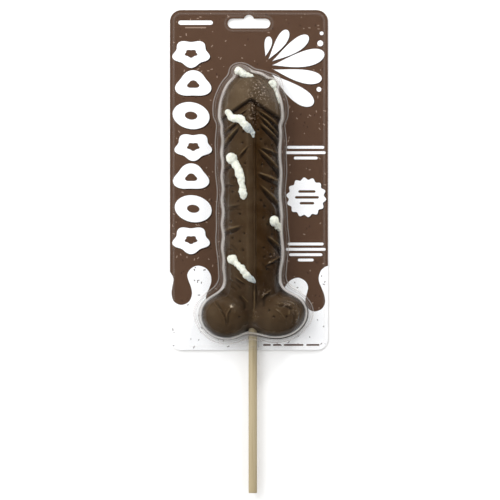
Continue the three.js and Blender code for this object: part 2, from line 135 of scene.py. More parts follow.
PITS = [
    (7, 90.6), (9.1, 83.4), (12.5, 79.7), (17.8, 79.3), (-4.9, 80.8), (-4.4, 89.1), (-2.8, 65.3),
    (10, 64.5), (17.8, 46.8), (9.1, 38), (12, 33.4), (10.9, 25), (-8.3, 37.4), (-6.9, 27.9),
    (-12.6, 44.5), (-13.9, 22.4), (-3.5, 13.4), (-6.9, 7.4), (-4.6, 0.7), (11.2, 2.6), (16.5, -2.2),
    (11.8, -4.3), (17.8, 12.6), (14.1, -13.4), (-12.6, 9.8), (-13.9, 1.2), (-6.8, -48.9),
    (18.6, -48.9), (28.1, -48.9), (15, -43.9), (-12, 55), (14, 20), (-9, -12),
]
PIT = {"radius": 0.8, "depth": 1.3}
BOSS = {"x": 4.6, "y": -50, "radius": 3.4, "height": 0.8}
# Where the surface is crinkled and has painted glints: middle and half length across and along, and how
# much
CRINKLED_AND_GLINTS = [
    (7.4, 7.6, 119.6, 9.6, 1), (3.2, 2.6, 104, 8, 1), (28.5, 6, -39.6, 2, 0.6),
    (35.2, 2.2, -47, 5, 0.5), (17.8, 4, -2.8, 2.6, 0.5), (11.4, 4, -31.4, 2.4, 0.6),
    (-35, 1, -48, 2.2, 0.7), (4.4, 2, -48, 3, 0.4),
]
# How pale the candy is: painted sheen on its left and head, a painted highlight along the seam
TONES_AND_SHEEN = {"right": 0.08, "left": 0.26, "lobes": 0.29, "head_right": 0.66, "head_left": 0.65, "seam": 0.13}
# Where the painted sheen on the left starts, left of the middle: x low down, x at the top
PALER_LEFT_OF = (6.4, 4.2)
# Painted sheen, soft pale highlight patches: middle, reach, and how much paler
SHEEN_PATCHES = [(-6, 120, 5, 0.16), (-24, -53, 5, 0.14), (16, -50, 5, 0.16), (-29, -45, 5, 0.08)]

# Icing strokes from drop to tail: x, y, radius, and the height above the back where one hangs free
ICING = [
    [(-7.4, 134.9, 3.3, 8.5), (-4.2, 133, 2.8, 10), (-1, 131.7, 2.7, 11), (1.6, 131, 2, 11.4),
     (3.2, 130.5, 0.9, 11.5)],
    [(17.6, 124.7, 3.7), (19.8, 119.8, 2), (21.2, 115.6, 1.7), (22.3, 111.4, 1)],
    [(-15.6, 103.6, 2.4), (-13.6, 100.1, 2.5), (-10.2, 99, 2.8), (-6.2, 98.4, 2.9),
     (-3.6, 95.4, 2.7), (-0.8, 92.2, 2.9), (2.4, 88.9, 1.9), (3.4, 85.4, 0.7)],
    [(-12.9, 69.2, 4.3), (-9.8, 64, 2.7), (-7.4, 58.8, 3.3), (-5.8, 53.4, 2.9), (-4.9, 48.2, 2.2),
     (-4.4, 43.2, 2.9), (-4, 40.8, 2.3)],
    [(19.6, 21.2, 3.8), (22.2, 18, 2.3), (23.4, 14.4, 1.4), (23.7, 11, 0.7)],
    [(-12.4, -6.2, 3.7), (-8.4, -9.8, 2.2), (-4.8, -14, 2.7), (-1.4, -17.6, 2.6), (1.4, -20.2, 2.4),
     (3.9, -22.6, 1.2)],
]
ICING_SHAPE = {"flatness": 0.85, "lift": 0.4, "rings": 110, "sides": 30, "lump": 0.5, "blend": 0.6}
THIN_FROM = {0: 0.86, 2: 0.62, 5: 0.7}

# The clear blister: its wall, how far it stands off the candy, how its left and right side weave
# (how far, at which pitch, where furthest), its low step and its ribs
WALL = 0.5
CLEAR = {"side": 1.2, "top": 4, "end": 1.2, "power": 3, "draft": 16}
WEAVES = [(0.42, 17.8, 20.5), (0.4, 30, 58)]
WEAVING_Y = (-22, 98)
STEP = {"side": 5.1, "end": 2.9, "height": 2.4, "wave": 0.5, "pitch": 9, "slope": 1.4}
RIB = {"from_edge": 1.6, "width": 2.2, "height": 0.5, "slope": 0.9}
SLOT_RIB = {"gap": 1, "width": 1.8, "slope": 0.7}
POCKETS = [
    {"x": -4.8, "y": 133.8, "rx": 7.2, "ry": 4.8, "height": 14.5, "tilt": -0.35},
    {"x": 17.3, "y": 124.7, "rx": 5, "ry": 5, "height": 18, "tilt": 0},
]
POCKET_STEP = 2.4
TUNNEL = {"clear": 0.7, "reach": 12}
TUNNEL_RADIUS = STICK_RADIUS + TUNNEL["clear"] + WALL
# How whitish the sheet is, partly haze and partly painted highlight: shoulder band, step lines and ribs
HAZE_AND_HIGHLIGHT = {"plain": 0.001, "shoulder": 0.62, "depth": 0.6, "half": 0.95, "step": 0.34, "rib": 0.06}
# A painted shadow: a dark line in the sheet at the foot of its lower walls, stronger to the right
PAINTED_FOOT_SHADOW = {"y": -30, "depth": -0.3, "half": 0.5, "share": 0.75}

# How softly the forms run into each other
CANDY_BLEND = {"plan": 8, "height": 4, "fill": 12}
CLEAR_BLEND = {"plan": 9, "height": 4, "fill": 22, "foot": 1.2}

# How close together the points of the meshes are, and the lines that the rings follow
SPACING = {
    "candy_edge": 0.75, "candy_top": 0.47, "foot": 0.85, "step": 1, "dome": 1.5, "flange": 3,
    "card_edge": 1.6, "slot_edge": 0.8, "slot_rings": 0.9, "tunnel": 0.5,
}
CANDY_AREA = ((-40, BASE_Y - 10), (46, TIP_Y + 1))
DOME_AREA = ((-50, -75), (55, 145))
ARC_POINTS = 24
STROKE_POINTS = 400
DRIP_POINTS = 300
RING_DEPTHS = (0.04, 0.12, 0.25, 0.42, 0.65, 0.95, 1.3, 1.7, 2.2, 2.75, 3.35)
WALL_DEPTHS = (
    0.1, 0.22, 0.36, 0.5, 0.65, 0.8, 0.95, 1.1, 1.25, 1.4, 1.55, 1.75, 2, 2.3, 2.7, 3.2, 3.8, 4.6, 5.6, 7,
)
FOOT_DEPTHS = (-0.12, -0.3, -0.55, -0.9)
STEP_DEPTHS = (2.4, 2.1, 1.95, 1.8, 1.65, 1.5, 1.3, 1.1, 0.9, 0.7, 0.55, 0.4, 0.25, 0.1, -0.1, -0.4)
EDGE_INSETS = (0.5, 1, 1.2, 1.45, 1.7, 1.9, 2.2, 2.5, 2.7, 2.95, 3.2, 3.4, 4)
SLOT_GROWTHS = (0.5, 1, 1.2, 1.4, 1.6, 1.9, 2.2, 2.4, 2.6, 2.8, 3.4)
TUNNEL_SHARES = (0, 0.22, 0.42, 0.6, 0.74, 0.85, 0.93, 0.98, 1.02, 1.05, 1.08, 1.14, 1.3)

# The print: the white field's dripping upper edge from left to right, then plain shapes
DRIP_EDGE = [
    (-60.7, -14), (-58.8, -15.9), (-56.6, -20.7), (-57.5, -26.7), (-58, -32), (-56.2, -37.6),
    (-50.9, -40.2), (-45.3, -38), (-42.8, -32.7), (-43.4, -27.1), (-45.7, -20.7), (-46, -16.8),
    (-43.4, -12.9), (-38.6, -10.8), (-32.9, -12.3), (-29.2, -16.6), (-28.2, -21.9), (-29.6, -27.1),
    (-31.4, -31.2), (-32.2, -35.7), (-29.2, -40.2), (-23.9, -38.7), (-20.9, -33.5), (-20.6, -29),
    (-19.6, -25), (-15.7, -20.7), (-8, -22), (-4, -34), (6, -38), (14, -30), (20, -34), (24, -33),
    (26.3, -28.2), (28.2, -24.9), (31.6, -21.5), (36.8, -19.8), (41.9, -22.1), (44.3, -26.4),
    (43.6, -30.9), (42.4, -35.4), (42.8, -40.2), (45.5, -43.8), (49.6, -45.1), (54.5, -43.2),
    (57.1, -38.7), (56.6, -33.1), (54.7, -27.9), (52.7, -23), (52.4, -18.9), (54.1, -14.4),
    (57.1, -11.7), (60.1, -10.6),
]
MOTIFS = {"x": -42.6, "top_y": 160, "bottom_y": -3, "count": 7, "half": 14.6, "aside": 0.8, "gap": 0.9}
MOTIF_PETALS = ((5, 0.1), (3, 0.12), (2, 0.06))
MOTIF_HEART = (0.34, 0.3)
MOTIF_SHADE = (0.8, -0.9)
# The fan of drops: its middle, then each drop's direction, distance, length and width
FAN = (10.5, 138.5)
DROPS = [
    (-40, 9, 38, 13), (-15, 8, 37, 11), (9, 7, 40, 13), (31, 8, 33, 10), (53, 7, 26, 8.5), (76, 8, 15, 6),
]
DROP_SHADE = (0.5, -0.6)
BEADS = [(53.5, 156, 2.2), (52.5, 121.5, 1.8), (54.5, 163.5, 1.4)]
BADGE = {"x": 43, "y": 40.5, "radius": 15, "scallops": 14, "bars": (13, 18, 11), "pitch": 4.4,
         "shade": (0.7, -0.7)}
BARS = [
    *[(42.6, 78 - 4 * i, width, 2.1, "white") for i, width in enumerate((28, 30, 18))],
    *[(42.6, 5.5 - 4 * i, width, 2.1, "white") for i, width in enumerate((27, 30, 25, 12))],
    (-40, 171.5, 26, 3.2, "white"), (-40, 167.8, 16, 0.9, "light"),
    *[(x, -70.2, width, 1.3, "brown") for x, width in ((13.5, 6), (21, 6), (33.5, 15), (48, 10))],
]
SPECKS = {"count": 500, "length": (1.2, 2.8), "width": 0.7, "seed": 4}
# Inks: the material's name, its two colours, and where it isn't as the others, its roughness and mottle
INKS = {
    "brown": ("card_brown", (84, 61, 46), (89, 66, 51)),
    "white": ("card_white", (251, 251, 251), (246, 246, 248)),
    "light": ("speck_light", (148, 126, 110), (130, 108, 94)),
    "dark": ("speck_dark", (62, 44, 34), (56, 40, 31)),
    "grey": ("speck_grey", (112, 106, 104), (130, 124, 122)),
    "shade": ("print_shade", (44, 31, 23), (50, 36, 28)),
    "board": ("board_back", (226, 222, 214), (212, 207, 198), 0.7, 1.0),
}

# The camera looks straight down; the photograph spans VIEW_WIDTH on the card
VIEW_WIDTH = 375
VIEW_CENTRE = (0.8, 1.0)
CAMERA_HEIGHT = 4000
SENSOR = 36

# The studio: how bright its walls are, and how much of that shows in a mirror
STUDIO_STRENGTH = 0.98
STUDIO_LEAN = (-0.2, 0.15)
MIRRORED_SHARE = 0.12
FLOOR_Z = -1.2
FLOOR_HALF = 8000
# Lights: name, place and size in metres, power, and whether glossy surfaces mirror it
LIGHTS = [
    ("key", (-0.75, 0.65, 1.0), (1.3, 1.3), 14, False),
    ("back", (0.6, 1.2, 0.7), (0.2, 0.2), 8, True),
]


def mix(a, b, t):
    return a + (b - a) * t


def smooth(v):
    v = np.clip(v, 0, 1)
    return v * v * (3 - 2 * v)


def bell(v):
    return np.exp(-v * v)


def smooth_max(a, b, reach):
    h = np.maximum(reach - np.abs(a - b), 0) / reach
    return np.maximum(a, b) + h * h * reach / 4


def smooth_min(a, b, reach):
    return -smooth_max(-a, -b, reach)


def bulge(y):
    """How far the candy's right side swells low on the shaft."""
    return BULGE["out"] * bell((y - BULGE["y"]) / BULGE["length"])


def axis_x(y):
    return mix(AXIS_X[0], AXIS_X[1], (y - BASE_Y) / (TIP_Y - BASE_Y)) + bulge(y) / 2


def plain_half(y):
    """Half the shaft's width at y, without its round ends."""
    flare = smooth((y - HEAD["neck_y"]) / (HEAD["widest_y"] - HEAD["neck_y"]))
    waist = WAIST["narrower"] * bell((y - WAIST["y"]) / WAIST["length"])
    return mix(SHAFT["half"], HEAD["half"], flare) - waist + bulge(y) / 2


def half_width(y):
    """Half the candy's width at y: an ellipse over the tip, a blunt root."""
    tip = np.clip((y - HEAD["widest_y"]) / (TIP_Y - HEAD["widest_y"]), 0, 1)
    root = np.clip((SHAFT["root_y"] - y) / (SHAFT["root_y"] - BASE_Y), 0, 1)
    return plain_half(y) * (1 - tip**2.1) ** 0.45 * np.sqrt(1 - root**3)


def mid_height(y, power):
    """Height of the candy's middle at y above its back."""
    tip = np.clip((y - SHAFT["dome_y"]) / (TIP_Y - SHAFT["dome_y"]), 0, 1)
    root = np.clip((SHAFT["root_y"] - y) / (SHAFT["root_y"] - BASE_Y), 0, 1)
    lowering = smooth((SHAFT["lowers_y"] - y) / SHAFT["lowers_over"])
    lowered = mix(SHAFT["height"], SHAFT["root_height"], lowering)
    return lowered * (1 - tip**power) ** (1 / power) * np.sqrt(1 - root**8)


def shaft_reach(x, y):
    """0 on the shaft's line, 1 on its outline in plan, more outside."""
    across = np.abs(x - axis_x(y)) / plain_half(y)
    tip = np.maximum((y - HEAD["widest_y"]) / (TIP_Y - HEAD["widest_y"]), 0)
    root = np.maximum((SHAFT["root_y"] - y) / (SHAFT["root_y"] - BASE_Y), 0)
    power = 1 / 0.45
    upper = (across**power + tip**2.1) ** (1 / power)
    return np.where(y < SHAFT["root_y"], np.sqrt(across**2 + root**3), upper)


def shaft_height(x, y, power):
    across = np.clip(np.abs(x - axis_x(y)) / np.maximum(half_width(y), 1e-6), 0, 1)
    return mid_height(y, power) * (1 - across**power) ** (1 / power)


def lobe_reach(x, y, lobe, grow=0):
    turn = lobe["tilt"]
    u = math.cos(turn) * (x - lobe["x"]) + math.sin(turn) * (y - lobe["y"])
    v = math.cos(turn) * (y - lobe["y"]) - math.sin(turn) * (x - lobe["x"])
    return np.hypot(u / (lobe["rx"] + grow), v / (lobe["ry"] + grow))


def lobe_height(x, y, lobe, grow, power, top):
    reach = np.clip(lobe_reach(x, y, lobe, grow), 0, 1)
    return (lobe["height"] + top) * (1 - reach**power) ** (1 / power)


def slopes(value_at, x, y, step):
    """How fast a value grows along x and along y."""
    along_x = (value_at(x + step, y) - value_at(x - step, y)) / (2 * step)
    along_y = (value_at(x, y + step) - value_at(x, y - step)) / (2 * step)
    return along_x, along_y


def depth_inside(reach_at, x, y):
    """Distance inside an outline, from how its reach grows around a point."""
    steepness = np.hypot(*slopes(reach_at, x, y, 0.05))
    return (1 - reach_at(x, y)) / np.maximum(steepness, 0.012)


def unscaled(x, y, side, end):
    """A point of the grown form, taken back to the candy's own size."""
    middle = (TIP_Y + BASE_Y) / 2
    wide = 1 + side / SHAFT["half"]
    long = 1 + 2 * end / (TIP_Y - BASE_Y)
    return STICK_X + (x - STICK_X) / wide, middle + (y - middle) / long


def plan_depth(x, y, side, end, blend, pockets=None, lobes=0):
    """Distance inside the whole outline, grown by side, end and lobes, with round necks."""
    def shaft(px, py):
        return shaft_reach(*unscaled(px, py, side, end))

    depth = depth_inside(shaft, x, y)
    for lobe in LOBES:
        other = depth_inside(lambda px, py: lobe_reach(px, py, lobe, side + lobes), x, y)
        depth = smooth_max(depth, other, blend)
    if pockets is not None:
        for pocket in POCKETS:
            other = depth_inside(lambda px, py: lobe_reach(px, py, pocket, pockets), x, y)
            depth = smooth_max(depth, other, blend / 3)
    return depth


def candy_depth(x, y):
    return plan_depth(x, y, 0, 0, CANDY_BLEND["plan"], lobes=FULLER_LOBES)


def rounded(depth, width, power):
    return (1 - (1 - np.clip(depth / width, 0, 1)) ** power) ** (1 / power)


def candy_height(x, y):
    """Height of the candy above its back, without relief."""
    height = shaft_height(x, y, SECTION_POWER)
    for lobe in LOBES:
        rise = lobe_height(x, y, lobe, FULLER_LOBES, SECTION_POWER, 0)
        height = smooth_max(height, rise, CANDY_BLEND["height"])
    edge = np.clip(candy_depth(x, y), 0, None)
    fill = CANDY_BLEND["fill"] * rounded(edge, 8, 2)
    lift = CANDY_BLEND["height"] / 4
    return smooth_max(height, fill, CANDY_BLEND["height"]) - lift * (1 - smooth(edge / 3))


def off_middle(x):
    """0 over the stick, 1 from 10 mm beside it."""
    return np.clip(np.abs(x - STICK_X) / 10, 0, 1)


def clear_depth(x, y):
    """Distance inside the dome's outline, whose sides weave slightly."""
    side = CLEAR["side"] + WALL
    depth = plan_depth(x, y, side, CLEAR["end"] + WALL, CLEAR_BLEND["plan"], WALL)
    low, high = WEAVING_Y
    beside = smooth((y - low) / 12) * smooth((high - y) / 12) * off_middle(x)
    weaves = [out * np.cos(2 * math.pi * (y - peak) / pitch) for out, pitch, peak in WEAVES]
    return depth + beside * np.where(x < STICK_X, *weaves)


def step_depth(x, y):
    """Distance inside the low step's outline, which weaves slightly along the sides."""
    side = STEP["side"] + WALL
    depth = plan_depth(x, y, side, STEP["end"] + WALL, CLEAR_BLEND["plan"], POCKET_STEP + WALL)
    along = y / STEP["pitch"]
    return depth + off_middle(x) * STEP["wave"] * (np.sin(along) + 0.6 * np.sin(2.2 * along))


def card_edge_depth(x, y):
    """Distance inside the card's edge."""
    middle = (TOP_Y + CARD_BOTTOM_Y) / 2
    out_x = np.abs(x) - (card_high.x - CARD_CORNER)
    out_y = np.abs(y - middle) - (TOP_Y - middle - CARD_CORNER)
    outside = np.hypot(np.maximum(out_x, 0), np.maximum(out_y, 0))
    return CARD_CORNER - outside - np.minimum(np.maximum(out_x, out_y), 0)


def slot_distance(x, y):
    """Distance outside the hang slot."""
    middle = TOP_Y - SLOT["below_top"]
    straight = (SLOT["width"] - SLOT["height"]) / 2
    along = np.maximum(np.abs(x) - straight, 0)
    bar = np.hypot(along, y - middle) - SLOT["height"] / 2
    bump_y = middle + SLOT["height"] / 2 + SLOT["rise"] - SLOT["bump"]
    return np.minimum(bar, np.hypot(x, y - bump_y) - SLOT["bump"])


def bead(distance, width, slope):
    """0 to 1 over a rib of a width, with soft flanks."""
    return smooth(distance / slope) * smooth((width - distance) / slope)


def rib_share(x, y):
    """0 to 1 over the rib along the card's edge and the one round its slot."""
    edge = bead(card_edge_depth(x, y) - RIB["from_edge"], RIB["width"], RIB["slope"])
    around_slot = bead(slot_distance(x, y) - SLOT_RIB["gap"], SLOT_RIB["width"], SLOT_RIB["slope"])
    return np.maximum(edge, around_slot)


def arch_height(x, y):
    """Height of the arch over the stick above the floor, 0 where it isn't."""
    aside = np.abs(x - STICK_X)
    arch = STICK_Z + np.sqrt(np.maximum(TUNNEL_RADIUS**2 - aside**2, 0))
    arch = np.minimum(arch, BACK_Z + CLEAR["draft"] * (TUNNEL_RADIUS + 0.3 - aside))
    return np.maximum(np.where(y < BASE_Y + TUNNEL["reach"], arch, 0), 0)


def dome_height(x, y):
    """Height of the dome over the candy above the floor; it falls away outside its outline."""
    side, end, top = CLEAR["side"] + WALL, CLEAR["end"] + WALL, CLEAR["top"] + WALL
    power = CLEAR["power"]
    near_x, near_y = unscaled(x, y, side, end)
    dome = shaft_height(near_x, near_y, power) * (1 + top / SHAFT["height"])
    for lobe in LOBES:
        dome = smooth_max(dome, lobe_height(x, y, lobe, side, power, top), CLEAR_BLEND["height"])
    for pocket in POCKETS:
        dome = smooth_max(dome, lobe_height(x, y, pocket, WALL, power, WALL), 2)
    depth = clear_depth(x, y)
    dome = smooth_max(dome, CLEAR_BLEND["fill"] * rounded(depth, 9, power), CLEAR_BLEND["height"])
    highest = clear_high.z - BACK_Z
    return BACK_Z + smooth_min(np.minimum(dome, highest), CLEAR["draft"] * depth, 3)


def clear_height(x, y):
    """Height of the blister's outer face above the floor."""
    low = FLANGE_Z + WALL + STEP["height"] * smooth(step_depth(x, y) / STEP["slope"])
    low = smooth_max(low + RIB["height"] * rib_share(x, y), arch_height(x, y), 0.6)
    return np.minimum(smooth_max(low, dome_height(x, y), CLEAR_BLEND["foot"]), clear_high.z)


def normals_of(height_at, x, y, step=0.04):
    """Directions straight out of a height field."""
    slope_x, slope_y = slopes(height_at, x, y, step)
    out = np.stack([-slope_x, -slope_y, np.ones_like(slope_x)], axis=1)
    return out / np.linalg.norm(out, axis=1, keepdims=True)


def arc(centre_x, centre_y, radius_x, radius_y, start, end, count):
    turns = np.radians(np.linspace(start, end, count))
    return np.stack([centre_x + radius_x * np.cos(turns), centre_y + radius_y * np.sin(turns)], axis=1)


def card_outline(inset):
    """The card's edge, or a line inside it, against the clock."""
    half = card_high.x - inset
    low, high = CARD_BOTTOM_Y + inset, TOP_Y - inset
    r = CARD_CORNER - inset
    corners = ((half - r, low + r), (half - r, high - r), (r - half, high - r), (r - half, low + r))
    arcs = [arc(x, y, r, r, 90 * i - 90, 90 * i, ARC_POINTS) for i, (x, y) in enumerate(corners)]
    return spaced(np.concatenate(arcs), SPACING["card_edge"])


def slot_outline(grow, spacing):
    """The hang slot with the round bump over its middle, spread by grow."""
    middle = TOP_Y - SLOT["below_top"]
    r = SLOT["height"] / 2 + grow
    end = (SLOT["width"] - SLOT["height"]) / 2
    bump = SLOT["bump"] + grow
    bump_y = middle + SLOT["height"] / 2 + SLOT["rise"] - SLOT["bump"]
    rise = math.degrees(math.asin((middle + r - bump_y) / bump))
    arcs = [
        arc(end, middle, r, r, -90, 90, ARC_POINTS),
        arc(0, bump_y, bump, bump, rise, 180 - rise, ARC_POINTS),
        arc(-end, middle, r, r, 90, 270, ARC_POINTS),
    ]
    return spaced(np.concatenate(arcs), spacing)


def spaced(loop, spacing):
    """A closed line of points, dealt out evenly along it."""
    closed = np.vstack([loop, loop[:1]])
    steps = np.linalg.norm(np.diff(closed, axis=0), axis=1)
    along = np.concatenate([[0], np.cumsum(steps)])
    count = max(8, int(round(along[-1] / spacing)))
    places = np.linspace(0, along[-1], count, endpoint=False)
    return np.stack([np.interp(places, along, closed[:, i]) for i in range(2)], axis=1)


def moved_to(depth_at, points, level, rounds=3):
    """Points moved straight in or out until their depth is the level."""
    for _ in range(rounds):
        x, y = points.T
        slope = np.stack(slopes(depth_at, x, y, 0.04), axis=1)
        steepness = np.maximum((slope**2).sum(axis=1, keepdims=True), 0.09)
        off = (level - depth_at(x, y))[:, None]
        points = points + np.clip(off / steepness, -3, 3) * slope
    return points


def rings_from(depth_at, loop, depths, rounds=2):
    """A line moved on to each depth in turn."""
    rings = []
    for depth in depths:
        loop = moved_to(depth_at, loop, depth, rounds)
        rings.append(loop)
    return rings


def rough_outline():
    """The candy's outline in plan as arcs and lines, with the clock, before it is made exact."""
    left, right = LOBES
    rise = np.linspace(-20, 95, 60)
    tip = arc(AXIS_X[1], HEAD["widest_y"], HEAD["half"], TIP_Y - HEAD["widest_y"], 175, 5, 50)
    return np.concatenate([
        arc(left["x"], left["y"], left["rx"], left["ry"], -60, -250, 40),
        np.stack([axis_x(rise) - plain_half(rise), rise], axis=1),
        tip,
        np.stack([axis_x(rise) + plain_half(rise), rise], axis=1)[::-1],
        arc(right["x"], right["y"], right["rx"], right["ry"], 70, -125, 40),
    ])


def outline_of(depth_at, spacing):
    """The line where a depth is nought, as evenly spaced points."""
    loop = rough_outline()
    for _ in range(3):
        loop = moved_to(depth_at, spaced(loop, spacing), 0)
    return loop


def grid(low, high, spacing):
    """Points on a staggered grid."""
    rows = np.arange(low[1], high[1], spacing * 0.87)
    columns = np.arange(low[0], high[0], spacing)
    x, y = np.meshgrid(columns, rows)
    x = x + np.where(np.arange(len(rows)) % 2, spacing / 2, 0)[:, None]
    return np.stack([x.ravel(), y.ravel()], axis=1)


def against_clock(loop):
    x, y = loop[:, 0], loop[:, 1]
    return loop if np.sum(x * np.roll(y, -1) - y * np.roll(x, -1)) > 0 else loop[::-1]


def triangulated(points, loops, hole=None):
    """Triangles inside the first loop and outside the hole, each with the last loop that it lies in."""
    loops = [against_clock(loop) for loop in loops]
    starts = np.cumsum([0] + [len(loop) for loop in loops])
    outlines = [list(range(a, b)) for a, b in zip(starts[:-1], starts[1:])]
    spots = [Vector(spot) for spot in np.concatenate([*loops, points])]
    corners, _, faces, _, _, within = delaunay_2d_cdt(spots, [], outlines, 0, 1e-5)
    kept = [i for i, inside in enumerate(within) if 0 in inside and hole not in inside]
    points, faces = used_only(np.array([tuple(v) for v in corners]), [list(faces[i]) for i in kept])
    return points, faces, [max(within[i]) for i in kept]


def rim_of(faces):
    """The directed edges that only one face has."""
    edges = {(face[i - 1], face[i]) for face in faces for i in range(len(face))}
    return [(a, b) for a, b in edges if (b, a) not in edges]


def used_only(points, faces):
    """The points that faces use, and the faces renumbered to them."""
    used = sorted({index for face in faces for index in face})
    number = {old: new for new, old in enumerate(used)}
    return points[used], [[number[index] for index in face] for face in faces]


def put(name, data):
    """A new object in the scene."""
    made = bpy.data.objects.new(name, data)
    bpy.context.scene.collection.objects.link(made)
    return made


def mesh_piece(name, corners, faces, materials, face_materials=None, shade_smooth=True):
    """A new object from corners in millimetres."""
    mesh = bpy.data.meshes.new(name)
    mesh.from_pydata((np.asarray(corners) * MM).tolist(), [], faces)
    for material in materials:
        mesh.materials.append(material)
    if face_materials is not None:
        mesh.polygons.foreach_set("material_index", face_materials)
    mesh.polygons.foreach_set("use_smooth", [shade_smooth] * len(faces))
    mesh.update()
    return put(name, mesh)


def sheet_faces(faces, count):
    """Faces of a closed sheet: its top, its under side, whose corners follow, and its edges."""
    under = [[index + count for index in reversed(face)] for face in faces]
    edges = [[b, a, a + count, b + count] for a, b in rim_of(faces)]
    return [*faces, *under, *edges]


def tube_faces(rows, sides, start=0):
    """Quads round a tube whose corners come row by row."""
    faces = []
    for row in range(rows - 1):
        for side in range(sides):
            a = start + row * sides + side
            b = start + row * sides + (side + 1) % sides
            faces.append([a + sides, b + sides, b, a])
    return faces


def store(piece, **numbers):
    """Stores numbers for each corner of a piece, for its material to read by name."""
    for name, values in numbers.items():
        layer = piece.data.attributes.new(name, "FLOAT", "POINT")
        layer.data.foreach_set("value", np.asarray(values, dtype=np.float32))


def dress(piece, node):
    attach(piece, "root")
    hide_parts(node)


def srgb(red, green, blue):
    """A colour on the 0 to 255 scale as linear light."""
    shares = [c / 255 for c in (red, green, blue)]
    return (*[c / 12.92 if c < 0.0404 else ((c + 0.055) / 1.055) ** 2.4 for c in shares], 1)


class Nodes:
    """The node tree of a material or of the world, under construction."""

    def __init__(self, owner):
        owner.use_nodes = True
        self.owner = owner
        self.tree = owner.node_tree
        self.tree.nodes.clear()
        self.place = None

    def add(self, kind, inputs, **settings):
        """A node; its inputs, by name or number, are values or other nodes' outputs."""
        node = self.tree.nodes.new("ShaderNode" + kind)
        for name, value in settings.items():
            setattr(node, name, value)
        for name, value in inputs.items():
            if isinstance(value, bpy.types.NodeSocket):
                self.tree.links.new(value, node.inputs[name])
            else:
                node.inputs[name].default_value = value
        return node

    def result(self, kind, inputs, **settings):
        return self.add(kind, inputs, **settings).outputs[0]

    def finish(self, shader, kind="OutputMaterial"):
        self.add(kind, {"Surface": shader})
        return self.owner

    def principled(self, inputs):
        return self.finish(self.result("BsdfPrincipled", inputs))

    def spots(self, scale, detail=3.0, stretch=(1, 1, 1), distortion=0.0):
        """Smooth noise in the piece's own space; scale is in cycles a metre."""
        if self.place is None:
            self.place = self.add("TexCoord", {}).outputs["Object"]
        place = self.result("Mapping", {"Vector": self.place, "Scale": stretch})
        inputs = {"Vector": place, "Scale": scale, "Detail": detail, "Distortion": distortion}
        return self.result("TexNoise", inputs)

    def spread(self, value, low, high, to_low=0.0, to_high=1.0, **settings):
        """A value from low to high as a number from to_low to to_high."""
        inputs = {"Value": value, "From Min": low, "From Max": high, "To Min": to_low, "To Max": to_high}
        return self.result("MapRange", inputs, **settings)

    def blend(self, share, first, second):
        return self.add("Mix", {0: share, 6: first, 7: second}, data_type="RGBA").outputs[2]

    def layered(self, share, first, second):
        return self.result("MixShader", {0: share, 1: first, 2: second})

    def worked(self, operation, *values):
        return self.result("Math", dict(enumerate(values)), operation=operation)

    def number(self, name):
        return self.add("Attribute", {}, attribute_name=name).outputs["Fac"]

    def bump(self, height, depth, strength, **under):
        """A bump of a depth in millimetres, over another one given as Normal."""
        inputs = {"Height": height, "Distance": depth * MM, "Strength": strength, **under}
        return self.result("Bump", inputs)


def new_look(name):
    return Nodes(bpy.data.materials.new(name))


def candy_look():
    """Dark glossy candy: browner on the right, with painted sheen greyer on the left and lighter at the
    head.
    """
    look = new_look("dark_candy")
    crinkled = look.number("crinkled")
    # Tone with painted sheen: paler where light falls on the left, head, seam and patches; the noise is the
    # candy's own mottle.
    tone_and_sheen = look.worked("ADD", look.number("tone_and_sheen"), look.spread(look.spots(120, 4), 0.3, 0.7, -0.1, 0.1))
    base = look.blend(tone_and_sheen, srgb(44, 26, 6), srgb(93, 78, 60))
    cloudy = look.spread(look.spots(420, 5, distortion=0.6), 0.45, 0.75, 0, 0.16)
    base = look.blend(cloudy, base, srgb(66, 48, 20))
    # Painted highlight: paler along the crests of folds and ridges.
    base = look.blend(look.number("crest"), base, srgb(128, 106, 74))
    # Painted shade: near black in grooves, pits, the notch under the head and round the candy's foot.
    base = look.blend(look.number("groove"), base, srgb(22, 10, 2))
    # Painted highlights: pale specks where the surface is crinkled.
    painted_glints = look.spread(look.spots(620, 3, distortion=0.5), 0.56, 0.66)
    base = look.blend(look.worked("MULTIPLY", painted_glints, crinkled), base, srgb(172, 152, 134))
    creases = look.bump(look.worked("MULTIPLY", look.spots(900, 4, distortion=1.2), crinkled), 2.6, 0.9)
    crinkle = look.bump(look.spots(520, 4, distortion=0.8), 0.4, 0.1, Normal=creases)
    dull = look.spread(look.spots(300, 3), 0.3, 0.7, 0.13, 0.24)
    dull = look.spread(crinkled, 0, 0.5, dull, 0.1)
    return look.principled({
        "Base Color": base,
        "Normal": look.bump(look.spots(2600, 2), 0.03, 0.15, Normal=crinkle),
        "Roughness": look.spread(look.number("flank"), 0, 1, dull, 0.6),
        "Specular IOR Level": 0.2,
        "Specular Tint": (1, 0.86, 0.64, 1),
    })


def icing_look():
    """Off-white sugar icing, thin and greyish where a stroke runs out."""
    look = new_look("icing")
    mottle = look.spread(look.spots(500, 3), 0.35, 0.7)
    white = look.blend(mottle, srgb(226, 227, 214), srgb(209, 211, 197))
    patchy = look.spread(look.spots(900, 4), 0.35, 0.65, 0.2, 1.1)
    thin = look.worked("MULTIPLY", look.number("thin"), patchy)
    return look.principled({
        "Base Color": look.blend(thin, white, srgb(146, 156, 162)),
        "Normal": look.bump(look.spots(900, 4), 0.25, 0.5),
        "Roughness": 0.45,
        "Subsurface Weight": 0.25,
        "Subsurface Radius": (0.0015, 0.0013, 0.001),
    })


